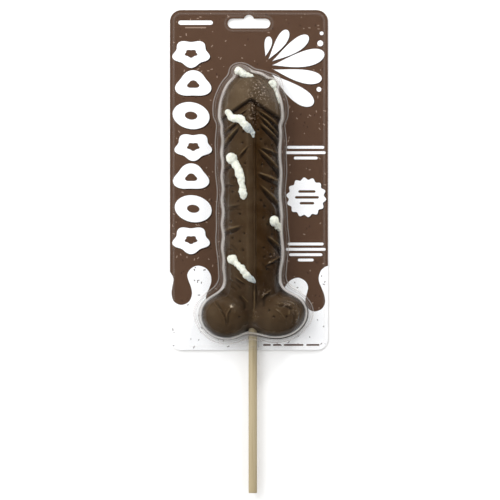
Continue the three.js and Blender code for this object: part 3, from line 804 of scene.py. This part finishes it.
def wood_look():
    """Pale tan dowel with fine grain along its length."""
    look = new_look("stick_wood")
    fine = look.spots(900, 4, (1, 0.02, 1))
    broad = look.spots(120, 3, (1, 0.05, 1))
    base = look.blend(look.spread(broad, 0.35, 0.7), srgb(182, 168, 137), srgb(167, 151, 117))
    base = look.blend(look.spread(fine, 0.5, 0.8, 0, 0.5), base, srgb(136, 118, 86))
    return look.principled({"Base Color": base, "Roughness": 0.6, "Normal": look.bump(fine, 0.12, 0.5)})


def print_look(name, colour, other, roughness=0.45, share=0.3):
    """Varnished print: one ink with a faint mottle."""
    look = new_look(name)
    mottle = look.spread(look.spots(700, 4), 0.3, 0.75, 0, share)
    return look.principled({
        "Base Color": look.blend(mottle, srgb(*colour), srgb(*other)),
        "Specular IOR Level": 0.2,
        "Roughness": look.spread(look.spots(90, 2), 0.3, 0.7, roughness - 0.05, roughness + 0.05),
        "Normal": look.bump(look.spots(1500, 3), 0.02, 0.3),
    })


def clear_look():
    """Clear formed sheet: see-through, glossy, and whitish where the forming stretched it, partly a painted
    highlight.
    """
    look = new_look("clear_sheet")
    facing = look.add("LayerWeight", {"Blend": 0.5}).outputs["Facing"]
    gloss = look.spread(look.worked("POWER", facing, 5.0), 0, 1, 0.002, 0.35)
    ripple = look.bump(look.spots(55, 2), 0.25, 0.25)
    shine = look.result("BsdfGlossy", {"Color": (1, 1, 1, 1), "Roughness": 0.34, "Normal": ripple})
    through = look.result("BsdfTransparent", {"Color": (0.99, 0.992, 0.995, 1)})
    sheet = look.layered(gloss, through, shine)
    # Painted shadow: the haze turns near black at the foot of the lower walls.
    tint = look.blend(look.number("smoky"), (0.88, 0.835, 0.79, 1), (0.03, 0.02, 0.015, 1))
    lit = look.result("BsdfDiffuse", {"Color": tint})
    haze = look.layered(0.5, lit, look.result("BsdfTranslucent", {"Color": tint}))
    slanted = look.spread(facing, 0.35, 0.9, 0.12, 1)
    fading = look.spread(look.number("steep"), 0.5, 0.9, 1, slanted)
    cloudy = look.worked("MULTIPLY", look.number("cloudy"), fading)
    return look.finish(look.layered(cloudy, sheet, haze))


def floor_look():
    look = new_look("pale_floor")
    shade = look.spread(look.spots(3, 2), 0.3, 0.7)
    return look.principled({
        "Base Color": look.blend(shade, (0.9, 0.9, 0.9, 1), (0.89, 0.89, 0.89, 1)),
        "Roughness": 0.9,
        "Specular IOR Level": 0,
        "Emission Color": (1, 1, 1, 1),
        "Emission Strength": 0.1,
    })


def notch_distance(across, y):
    """Distance above the head's rolled lip."""
    share = np.hypot(across, 0.05) - 0.05
    return y - (HEAD["notch_y"] - HEAD["chevron"] * share)


def head_relief(across, y):
    """The step down from the head's rolled lip to the shaft."""
    above = notch_distance(across, y)
    lip = HEAD["rise"] * (1 - 0.75 * np.abs(across) ** 3)
    raised = lip * (0.3 + 0.7 * np.exp(-np.maximum(above, 0) / 9)) * smooth((TIP_Y - y) / 12)
    sunk = -1.9 * np.exp(np.minimum(above, 0) / 2.2) * smooth(1.6 - np.abs(across))
    return mix(sunk, raised, smooth((above + 0.5) / 1.0))


def fold_relief(across, y, side, start, end, inner_y, outer_y, height, width):
    """A fold is a curved crest with a wider groove under it, finer where it starts."""
    t = (across * side - start) / (end - start)
    bow = FOLD_BOW * abs(inner_y - outer_y) * np.sin(math.pi * np.clip(t, 0, 1))
    below = mix(inner_y, outer_y, t) + bow - y
    finish = smooth((1 - t) / 0.4) if end < 1 else 1 - 0.4 * np.clip(t, 0, 1) ** 3
    wide = width * (0.55 + 0.6 * np.clip(t, 0, 1))
    shape = bell(below / (0.55 * wide + 0.25)) - 1.15 * bell((below - 1.45 * wide) / wide)
    inside = (t > 0) & (t < 1.2)
    return np.where(inside, height * smooth(t / 0.45) * finish * shape, 0)


def line_distance(x, y, points):
    """Distance to a line of points, and the share of the way along it."""
    nearest = np.full_like(x, 1e9)
    along = np.zeros_like(x)
    count = len(points) - 1
    for i, ((ax, ay), (bx, by)) in enumerate(zip(points[:-1], points[1:])):
        length = (bx - ax) ** 2 + (by - ay) ** 2
        t = np.clip(((x - ax) * (bx - ax) + (y - ay) * (by - ay)) / length, 0, 1)
        distance = np.hypot(x - ax - t * (bx - ax), y - ay - t * (by - ay))
        closer = distance < nearest
        nearest = np.where(closer, distance, nearest)
        along = np.where(closer, (i + t) / count, along)
    return nearest, along


def seam_relief(x, y):
    """A raised band along the middle, and on its right a fine line between two grooves."""
    along = smooth((SEAM["top_y"] - y) / 6) * smooth((y - SEAM["bottom_y"]) / 6)
    band = SEAM["height"] * bell((x - SEAM["x"]) / SEAM["half"]) * smooth((y - SEAM["fades_y"]) / 16)
    away = np.abs(x - SEAM["line"])
    line = 0.5 * bell(away / 0.5) - 0.6 * bell((away - SEAM["groove"]) / 0.45)
    return along * (band + line)


def share_across(x, y):
    """-1 on the candy's left edge, 0 on its middle, 1 on its right edge."""
    return np.clip((x - axis_x(y)) / np.maximum(half_width(y), 1), -1.1, 1.1)


def candy_relief(x, y):
    across = share_across(x, y)
    on_shaft = smooth(-notch_distance(across, y) / 1.2)
    folds = FOLD_DEPTH * sum(fold_relief(across, y, *fold) for fold in FOLDS)
    relief = head_relief(across, y) + on_shaft * (folds + seam_relief(x, y))
    lobes = np.minimum.reduce([lobe_reach(x, y, lobe) for lobe in LOBES])
    relief = relief * np.where(y < -25, smooth((lobes - 0.75) / 0.35), 1)
    for points, width, height in RIDGES:
        distance, along = line_distance(x, y, points)
        ends = smooth(along / 0.2 + 0.15) * smooth((1 - along) / 0.2 + 0.15)
        relief = relief + height * ends * bell(distance / width)
    for pit_x, pit_y in PITS:
        relief = relief - PIT["depth"] * bell(np.hypot(x - pit_x, y - pit_y) / PIT["radius"])
    boss = np.hypot(x - BOSS["x"], y - BOSS["y"]) / BOSS["radius"]
    return relief + BOSS["height"] * bell(boss) + seam_relief(x, y) * (y < -25) * 0.8


def waviness(x, y, scale):
    return np.array([noise.noise(Vector((a * scale, b * scale, 0))) for a, b in zip(x, y)])


def candy_points():
    """The candy in plan and the faces between its points: rings up its sides, a fine grid on top."""
    edge = outline_of(candy_depth, SPACING["candy_edge"])
    rings = rings_from(candy_depth, edge, RING_DEPTHS)
    inner = grid(*CANDY_AREA, SPACING["candy_top"])
    inner = inner[candy_depth(*inner.T) > RING_DEPTHS[-1] + SPACING["candy_top"] * 0.7]
    return triangulated(np.concatenate([*rings, inner]), [edge])[:2]


def rim_loop(faces):
    """The corners round an open patch of faces, in order."""
    follow = dict(rim_of(faces))
    loop = [next(iter(follow))]
    while follow[loop[-1]] != loop[0]:
        loop.append(follow[loop[-1]])
    return loop


def candy_numbers(x, y, formed):
    """What the candy's material reads: how pale (with painted sheen), how far down its flank, painted
    groove shade, crest highlight.
    """
    depth = candy_depth(x, y)
    across = share_across(x, y)
    under = -notch_distance(across, y)
    head = smooth((1 - under) / 2)
    # Painted sheen: the left side and the head are paler because light falls on them there.
    left = smooth((mix(*PALER_LEFT_OF, smooth((y - 20) / 70)) - x) / 2)
    lobes = smooth((-28 - y) / 8)
    upper = 0.7 + 0.3 * smooth((y - 75) / 15)
    tone_and_sheen = mix(mix(TONES_AND_SHEEN["right"], TONES_AND_SHEEN["left"], left), TONES_AND_SHEEN["lobes"], lobes)
    head_tone_and_sheen = mix(TONES_AND_SHEEN["head_right"], TONES_AND_SHEEN["head_left"], left)
    # Painted highlights: soft pale patches, and a pale band along the seam where it shines.
    patch = sum(more * bell(np.hypot(x - a, y - b) / reach) for a, b, reach, more in SHEEN_PATCHES)
    on_seam = bell((x - SEAM["x"]) / SEAM["half"])
    patch = patch + TONES_AND_SHEEN["seam"] * on_seam * (1 - head) * (1 - lobes)
    # Painted shade: darker under the head's lip, in grooves and pits, and near the candy's foot where light
    # can't reach.
    wide = 2 + np.where(across > 0, 4, 1.2) * across**2
    notch = smooth((under + 0.3) / 0.8) * smooth((wide - under) / (0.6 * wide)) * smooth((y - 88) / 5)
    foot = (1 - smooth(depth / 3.2)) * np.maximum(lobes, smooth(across / 0.6)) * (1 - head)
    low = np.maximum(smooth((-0.1 - formed) / 1.1) * upper, foot)
    # Painted highlight on crests: how far the folds and ridges rise above the rest.
    folded = formed - head_relief(across, y) - seam_relief(x, y)
    return {
        "tone_and_sheen": mix(tone_and_sheen, head_tone_and_sheen, head) + patch,
        "flank": 1 - smooth(depth / 6),
        "groove": np.maximum(low, notch) * 0.95,
        "crest": smooth((folded - 0.25) / 1.1) * 0.6 * upper,
    }


def candy_piece():
    """The candy as a closed body with its relief and a flat back."""
    points, faces = candy_points()
    x, y = points.T
    rim = rim_loop(faces)
    height = np.maximum(candy_height(x, y), 0)
    height[rim] = 0
    formed = candy_relief(x, y)
    crinkled = sum(much * bell((x - a) / b) * bell((y - c) / d) for a, b, c, d, much in CRINKLED_AND_GLINTS)
    relief = formed + 0.2 * waviness(x, y, 0.12) + (0.06 + 0.3 * crinkled) * waviness(x, y, 0.8)
    corners = np.stack([x, y, height + BACK_Z], axis=1)
    corners = corners + normals_of(candy_height, x, y) * (relief * smooth(height / 9))[:, None]
    corners[:, 2] = np.maximum(corners[:, 2], BACK_Z)
    piece = mesh_piece("candy_body", corners, [*faces, rim[::-1]], [candy_look()])
    store(piece, crinkled=crinkled, **candy_numbers(x, y, formed))
    return piece


def spline(points, count):
    """A smooth line through rows of numbers."""
    padded = np.vstack([2 * points[0] - points[1], points, 2 * points[-1] - points[-2]])
    places = np.linspace(0, len(points) - 1, count)
    low = np.minimum(places.astype(int), len(points) - 2)
    t = (places - low)[:, None]
    a, b, c, d = (padded[low + i] for i in range(4))
    return 0.5 * (2 * b + (c - a) * t + (2 * a - 5 * b + 4 * c - d) * t**2 + (3 * b - a - 3 * c + d) * t**3)


def icing_height(x, y):
    """Height of the candy's surface above its back, without folds, out to just short of its edge."""
    across = np.minimum(np.abs(x - axis_x(y)) / np.maximum(half_width(y), 1), 0.97)
    plain = mid_height(y, SECTION_POWER) * (1 - across**SECTION_POWER) ** (1 / SECTION_POWER)
    return plain + np.maximum(head_relief(across, y), 0)


def upright_at(x, y):
    """Directions straight out of the candy under the icing, short of its steep tip."""
    return normals_of(icing_height, x, np.minimum(y, TIP_Y - 1.5), 1.0)


def beyond(spot, before):
    """A spot as wide as a stroke's last one, a radius past it."""
    away = spot - before
    past = spot + away / np.linalg.norm(away[:2]) * spot[2]
    past[2] = spot[2]
    return past


def placed_spots(stroke):
    """A stroke's rows x, y, radius and height, with the heights on the candy filled in."""
    spots = np.array([(*spot[:3], spot[3] if len(spot) > 3 else np.nan) for spot in stroke], float)
    steepness = np.maximum(upright_at(spots[:, 0], spots[:, 1])[:, 2], 0.35)
    laid = icing_height(spots[:, 0], spots[:, 1]) + ICING_SHAPE["lift"] * spots[:, 2] / steepness
    spots[:, 3] = np.where(np.isnan(spots[:, 3]), laid, spots[:, 3])
    return spots


def stroke_rings(spots):
    """Middles and radii of a stroke's rings, closer at its ends, and how far along each one is."""
    ends = beyond(spots[0], spots[1]), beyond(spots[-1], spots[-2])
    line = spline(np.vstack([ends[0], spots, ends[1]]), STROKE_POINTS)
    steps = np.linalg.norm(np.diff(line[:, [0, 1, 3]], axis=0), axis=1)
    along = np.concatenate([[0], np.cumsum(steps)])
    places = (1 - np.cos(np.linspace(0, math.pi, ICING_SHAPE["rings"]))) / 2 * along[-1]
    x, y, radius, z = (np.interp(places, along, line[:, i]) for i in range(4))
    drop, neck, tail = spots[0, 2], spots[1, 2], spots[-1, 2]
    ball = np.sqrt(np.maximum(drop**2 - (places - drop) ** 2, 0))
    from_end = np.clip((along[-1] - places) / tail, 0, 1)
    body = np.where(places < 2.6 * drop, np.minimum(radius, neck), radius)
    body = np.where(places < drop, 0, np.maximum(body, 0.3)) * np.sqrt(1 - (1 - from_end) ** 2)
    radius = smooth_max(ball, body, ICING_SHAPE["blend"]) * smooth(places / 0.2) + 0.01
    return np.stack([x, y, z], axis=1), radius, places / along[-1]


def unit(rows):
    return rows / np.maximum(np.linalg.norm(rows, axis=1, keepdims=True), 1e-9)


def icing_piece():
    """Each stroke is a flattened lumpy worm on the candy, round at its drop, thin at its tail."""
    rings, sides = ICING_SHAPE["rings"], ICING_SHAPE["sides"]
    corners, faces, thin = [], [], []
    for number, stroke in enumerate(ICING):
        centre, radius, along = stroke_rings(placed_spots(stroke))
        ahead = unit(np.gradient(centre, axis=0))
        sideways = unit(np.cross(ahead, upright_at(centre[:, 0], centre[:, 1])))
        outwards = np.cross(sideways, ahead)
        start = len(corners)
        for ring in range(rings):
            for side in range(sides):
                turn = 2 * math.pi * side / sides
                rise = math.sin(turn) * outwards[ring] * ICING_SHAPE["flatness"]
                way = math.cos(turn) * sideways[ring] + rise
                spot = centre[ring] + way * radius[ring]
                lump = noise.noise(Vector(spot * 0.34)) + 0.5 * noise.noise(Vector(spot * 0.9))
                corners.append(spot + way * lump * ICING_SHAPE["lump"] * min(radius[ring], 2.0))
                thin.append(smooth((along[ring] - THIN_FROM.get(number, 2)) / 0.12))
        last = start + (rings - 1) * sides
        faces += tube_faces(rings, sides, start)
        faces.append(list(range(start, start + sides)))
        faces.append(list(range(last, last + sides))[::-1])
    piece = mesh_piece("icing_strokes", np.array(corners) + (0, 0, BACK_Z), faces, [icing_look()])
    store(piece, thin=thin)
    return piece


def haze_and_highlight(x, y):
    """How whitish the sheet is, haze and painted highlight: most on the dome's shoulder, a little on its
    steps and ribs.
    """
    inside = clear_depth(x, y) - HAZE_AND_HIGHLIGHT["depth"]
    narrower = 1 - 0.5 * smooth((-20 - y) / 10)
    half = np.where(inside < 0, 0.85, 1) * HAZE_AND_HIGHLIGHT["half"] * narrower
    # Uneven, and brighter towards the right: painted highlight.
    uneven = 1 + 0.4 * waviness(x, y, 0.09) + 0.3 * smooth((x - 5) / 10)
    shoulder = HAZE_AND_HIGHLIGHT["shoulder"] * uneven * bell(inside / half)
    for pocket in POCKETS:
        shoulder = shoulder * (1 - 0.95 * bell(np.hypot(x - pocket["x"], y - pocket["y"]) / 6))
    down = step_depth(x, y)
    step = HAZE_AND_HIGHLIGHT["step"] * (bell((down - 0.2) / 0.22) + 0.65 * bell((down - 2) / 0.22))
    return HAZE_AND_HIGHLIGHT["plain"] + shoulder + step + HAZE_AND_HIGHLIGHT["rib"] * rib_share(x, y)


def blister_points():
    """The blister in plan: rings along its walls, steps and ribs, grids on its flat parts."""
    foot = outline_of(clear_depth, SPACING["foot"])
    walls = rings_from(clear_depth, foot, WALL_DEPTHS)
    outwards = rings_from(clear_depth, foot, FOOT_DEPTHS)
    around = outwards[-1]
    for _ in range(4):
        around = spaced(moved_to(step_depth, around, STEP_DEPTHS[0]), SPACING["step"])
    steps = rings_from(step_depth, around, STEP_DEPTHS, 3)
    edges = [card_outline(inset) for inset in EDGE_INSETS]
    slots = [slot_outline(grow, SPACING["slot_rings"]) for grow in SLOT_GROWTHS]
    top = grid(*DOME_AREA, SPACING["dome"])
    top = top[clear_depth(*top.T) > WALL_DEPTHS[-1] + 1]
    flat = grid((card_low.x, card_low.y), (card_high.x, card_high.y), SPACING["flange"])
    beyond_step = step_depth(*flat.T) < STEP_DEPTHS[-1] - 1.5
    flat = flat[beyond_step & (slot_distance(*flat.T) > 5) & (card_edge_depth(*flat.T) > 5)]
    points = np.concatenate([foot, *walls, *outwards, *steps, *edges, *slots, top, flat])
    lines = np.array(TUNNEL_SHARES) * TUNNEL_RADIUS
    lines = np.concatenate([-lines[:0:-1], lines]) + STICK_X
    tunnel_y = np.arange(CARD_BOTTOM_Y + 0.5, BASE_Y - 1.4, SPACING["tunnel"])
    tunnel = np.stack([a.ravel() for a in np.meshgrid(lines, tunnel_y)], axis=1)
    near_stick = np.abs(points[:, 0] - STICK_X) < TUNNEL_RADIUS * 1.4
    return np.concatenate([points[~(near_stick & (points[:, 1] < BASE_Y - 1.2))], tunnel])


def blister_piece():
    """The clear shell as one closed sheet of even thickness."""
    outlines = [card_outline(0), slot_outline(0, SPACING["slot_edge"])]
    points, faces, _ = triangulated(blister_points(), outlines, hole=1)
    x, y = points.T
    top_side = np.stack([x, y, clear_height(x, y)], axis=1)
    out = normals_of(clear_height, x, y)
    out[[a for a, _ in rim_of(faces)]] = (0, 0, 1)
    under_side = top_side - out * WALL
    under_side[:, 2] = np.maximum(under_side[:, 2], FLANGE_Z)
    corners = np.concatenate([top_side, under_side])
    piece = mesh_piece("clear_blister", corners, sheet_faces(faces, len(points)), [clear_look()])
    # Painted shadow at the wall's foot, low on the candy and stronger to the right.
    low = smooth((PAINTED_FOOT_SHADOW["y"] - y) / 12) * (0.5 + 0.5 * smooth((x + 10) / 30))
    foot_shadow = bell((clear_depth(x, y) - PAINTED_FOOT_SHADOW["depth"]) / PAINTED_FOOT_SHADOW["half"]) * low
    cloudy = haze_and_highlight(x, y) + PAINTED_FOOT_SHADOW["share"] * foot_shadow
    store(piece, cloudy=np.tile(cloudy, 2), smoky=np.tile(foot_shadow, 2), steep=np.tile(1 - out[:, 2], 2))
    piece.visible_glossy = False
    return piece


def petal_shape(x, y, half_x, half_y, petals, swell, count=72):
    """A round form with a number of soft petals."""
    turns = np.linspace(0, 2 * math.pi, count, endpoint=False)
    reach = 1 - swell + swell * np.cos(petals * turns + math.pi / 2)
    return np.stack([x + half_x * reach * np.cos(turns), y + half_y * reach * np.sin(turns)], axis=1)


def turned(loop, x, y, turn):
    """A loop turned about its own zero point and moved to x, y."""
    c, s = math.cos(turn), math.sin(turn)
    return np.stack([x + c * loop[:, 0] - s * loop[:, 1], y + s * loop[:, 0] + c * loop[:, 1]], axis=1)


def drop_shape(x, y, length, width, turn, bend=0.06, count=44):
    """A teardrop that starts thin at x, y and ends round, slightly bent."""
    turns = np.linspace(0, math.pi, count // 2)
    along = (1 - np.cos(turns)) / 2
    half = width * 0.65 * np.sin(turns) * np.sin(turns / 2) ** 1.4
    middle = bend * length * along**2
    forth = np.stack([along * length, middle - half], axis=1)
    back = np.stack([along * length, middle + half], axis=1)[::-1]
    return turned(np.concatenate([forth[:-1], back[:-1]]), x, y, turn)


def bar_shape(x, y, width, height, turn=0.0, count=5):
    """A bar with round ends."""
    r = height / 2
    end = width / 2 - r
    loop = np.concatenate([arc(end, 0, r, r, -90, 90, count), arc(-end, 0, r, r, 90, 270, count)])
    return turned(loop, x, y, turn)


def drip_line():
    """The white field's upper edge as a smooth line."""
    return spline(np.array(DRIP_EDGE, float), DRIP_POINTS)


def under_drip(x, y, line):
    """Whether a point lies in the white field."""
    crossings = 0
    for (ax, ay), (bx, by) in zip(line[:-1], line[1:]):
        if (ax <= x) != (bx <= x) and ay + (by - ay) * (x - ax) / (bx - ax) > y:
            crossings += 1
    return crossings % 2 == 1


def speck_shapes(line):
    """Short dashes strewn over the card: grey on the white field, light or dark on the brown."""
    draw = random.Random(SPECKS["seed"])
    shapes = []
    for _ in range(SPECKS["count"]):
        x = draw.uniform(card_low.x + 2, card_high.x - 2)
        y = draw.uniform(CARD_BOTTOM_Y + 2, TOP_Y - 2)
        length = draw.uniform(*SPECKS["length"])
        turn = draw.uniform(0, math.pi)
        on_white = under_drip(x, y, line)
        ink = "grey" if on_white else draw.choice(("light", "light", "dark"))
        near = any(under_drip(x + aside, y, line) != on_white for aside in (-2, 2))
        if not near and slot_distance(x, y) > 2:
            shapes.append((bar_shape(x, y, length, SPECKS["width"], turn, 2), ink))
    return shapes


def shaded(shape, aside):
    """A white shape with its shade a little aside under it."""
    return [(shape + aside, "shade"), (shape, "white")]


def motif_shapes():
    """A column of petal forms, each with a shade beside it and a brown middle."""
    shapes = []
    step = (MOTIFS["top_y"] - MOTIFS["bottom_y"]) / MOTIFS["count"]
    wide, tall = MOTIFS["half"], step / 2 - MOTIFS["gap"]
    for i in range(MOTIFS["count"]):
        y = MOTIFS["top_y"] - step * (i + 0.5)
        x = MOTIFS["x"] + (MOTIFS["aside"] if i % 2 else -MOTIFS["aside"])
        form = MOTIF_PETALS[i % 3]
        shapes += shaded(petal_shape(x, y, wide, tall, *form), MOTIF_SHADE)
        heart = petal_shape(x, y, wide * MOTIF_HEART[0], tall * MOTIF_HEART[1], *form)
        shapes.append((heart, "brown"))
    return shapes


def fan_shapes():
    """Drops that fan out round one point."""
    shapes = []
    for degrees, away, length, width in DROPS:
        turn = math.radians(degrees)
        x = FAN[0] + away * math.cos(turn)
        y = FAN[1] + away * math.sin(turn)
        shapes += shaded(drop_shape(x, y, length, width, turn), DROP_SHADE)
    return shapes


def badge_shapes():
    """A scalloped badge with three bars."""
    x, y, radius = BADGE["x"], BADGE["y"], BADGE["radius"]
    badge = petal_shape(x, y, radius, radius, BADGE["scallops"], 0.06, 140)
    pitch = BADGE["pitch"]
    bars = [bar_shape(x + 0.5, y + pitch - pitch * i, width, 1.9) for i, width in enumerate(BADGE["bars"])]
    return shaded(badge, BADGE["shade"]) + [(bar, "brown") for bar in bars]


def print_shapes():
    """Closed outlines and their inks, the later ones on top."""
    line = drip_line()
    below = [(70, CARD_BOTTOM_Y - 9), (-70, CARD_BOTTOM_Y - 9)]
    field = (np.concatenate([line, below]), "white")
    beads = [(petal_shape(x, y, radius, radius, 1, 0, 24), "white") for x, y, radius in BEADS]
    bars = [(bar_shape(*bar), ink) for *bar, ink in BARS]
    return [field, *speck_shapes(line), *motif_shapes(), *fan_shapes(), *beads, *badge_shapes(), *bars]


def card_piece():
    """The board: its face is cut along the print's outlines, so each ink is its own faces."""
    inks = list(INKS)
    shapes = print_shapes()
    outlines = [card_outline(0), slot_outline(0, SPACING["slot_edge"])]
    loops = [*outlines, *[shape for shape, _ in shapes]]
    points, faces, lying_in = triangulated(np.zeros((0, 2)), loops, hole=1)
    ink_of = [inks.index("brown")] * 2 + [inks.index(ink) for _, ink in shapes]
    top_side = np.column_stack([points, np.full(len(points), CARD_TOP_Z)])
    under_side = np.column_stack([points, np.full(len(points), card_low.z)])
    whole = sheet_faces(faces, len(points))
    colours = [ink_of[loop] for loop in lying_in]
    colours += [inks.index("board")] * (len(whole) - len(faces))
    corners = np.concatenate([top_side, under_side])
    materials = [print_look(*ink) for ink in INKS.values()]
    return mesh_piece("printed_card", corners, whole, materials, colours, False)


def stick_piece():
    """The round dowel, with a small chamfer at its free end."""
    sides, chamfer = 56, 0.4
    low, high, narrow = stick_low.y, stick_high.y, STICK_RADIUS - chamfer
    rows = [(low, narrow), (low + 0.12, STICK_RADIUS - 0.15), (low + chamfer, STICK_RADIUS)]
    rows += [(y, STICK_RADIUS) for y in np.linspace(low + 2, high - 1, 60)]
    rows += [(high, narrow)]
    turns = np.linspace(0, 2 * math.pi, sides, endpoint=False)
    corners = [(STICK_X + r * math.cos(t), y, STICK_Z + r * math.sin(t)) for y, r in rows for t in turns]
    corners += [(STICK_X, low, STICK_Z), (STICK_X, high, STICK_Z)]
    faces = tube_faces(len(rows), sides)
    last, middle = (len(rows) - 1) * sides, len(rows) * sides
    for side in range(sides):
        after = (side + 1) % sides
        faces += [[side, after, middle], [last + after, last + side, middle + 1]]
    return mesh_piece("wooden_stick", corners, faces, [wood_look()])


def floor_piece():
    corners = [(x * FLOOR_HALF, y * FLOOR_HALF, FLOOR_Z) for x, y in ((-1, -1), (1, -1), (1, 1), (-1, 1))]
    floor = mesh_piece("floor", corners, [[0, 1, 2, 3]], [floor_look()], shade_smooth=False)
    floor.visible_glossy = False
    return floor


def add_camera():
    data = bpy.data.cameras.new("camera")
    data.sensor_width = SENSOR
    data.lens = SENSOR * CAMERA_HEIGHT / VIEW_WIDTH
    data.clip_end = 40
    camera = put("camera", data)
    camera.location = (VIEW_CENTRE[0] * MM, VIEW_CENTRE[1] * MM, (CAMERA_HEIGHT + CARD_TOP_Z) * MM)
    bpy.context.scene.camera = camera


def add_light(name, place, size, power, mirrored):
    """A soft rectangular light aimed at the card."""
    data = bpy.data.lights.new(name, "AREA")
    data.shape = "RECTANGLE"
    data.size, data.size_y = size
    data.energy = power
    lamp = put(name, data)
    lamp.location = place
    lamp.rotation_euler = (-Vector(place)).to_track_quat("-Z", "Y").to_euler()
    lamp.visible_glossy = mirrored


def add_world():
    """A pale studio, brighter at the upper left, darker straight overhead and where it is mirrored."""
    world = bpy.data.worlds.new("studio")
    bpy.context.scene.world = world
    studio = Nodes(world)
    way = studio.add("SeparateXYZ", {0: studio.add("TexCoord", {}).outputs["Generated"]}).outputs
    soft = {"interpolation_type": "SMOOTHSTEP"}
    overhead = studio.spread(way["Z"], 0.8, 0.94, STUDIO_STRENGTH, 0.1, **soft)
    glossy = studio.add("LightPath", {}).outputs["Is Glossy Ray"]
    mirrored = studio.spread(glossy, 0, 1, 1, MIRRORED_SHARE, **soft)
    leaning = studio.worked("MULTIPLY_ADD", way["X"], STUDIO_LEAN[0], 1.0)
    leaning = studio.worked("MULTIPLY_ADD", way["Y"], STUDIO_LEAN[1], leaning)
    strength = studio.worked("MULTIPLY", studio.worked("MULTIPLY", overhead, mirrored), leaning)
    light = studio.result("Background", {"Color": (1, 1, 1, 1), "Strength": strength})
    studio.finish(light, "OutputWorld")


floor_piece()
dress(card_piece(), "card")
dress(candy_piece(), "candy")
dress(icing_piece(), "candy")
dress(blister_piece(), "blister")
dress(stick_piece(), "stick")

add_camera()
add_world()
for light in LIGHTS:
    add_light(*light)
bpy.context.scene.view_settings.view_transform = "Standard"
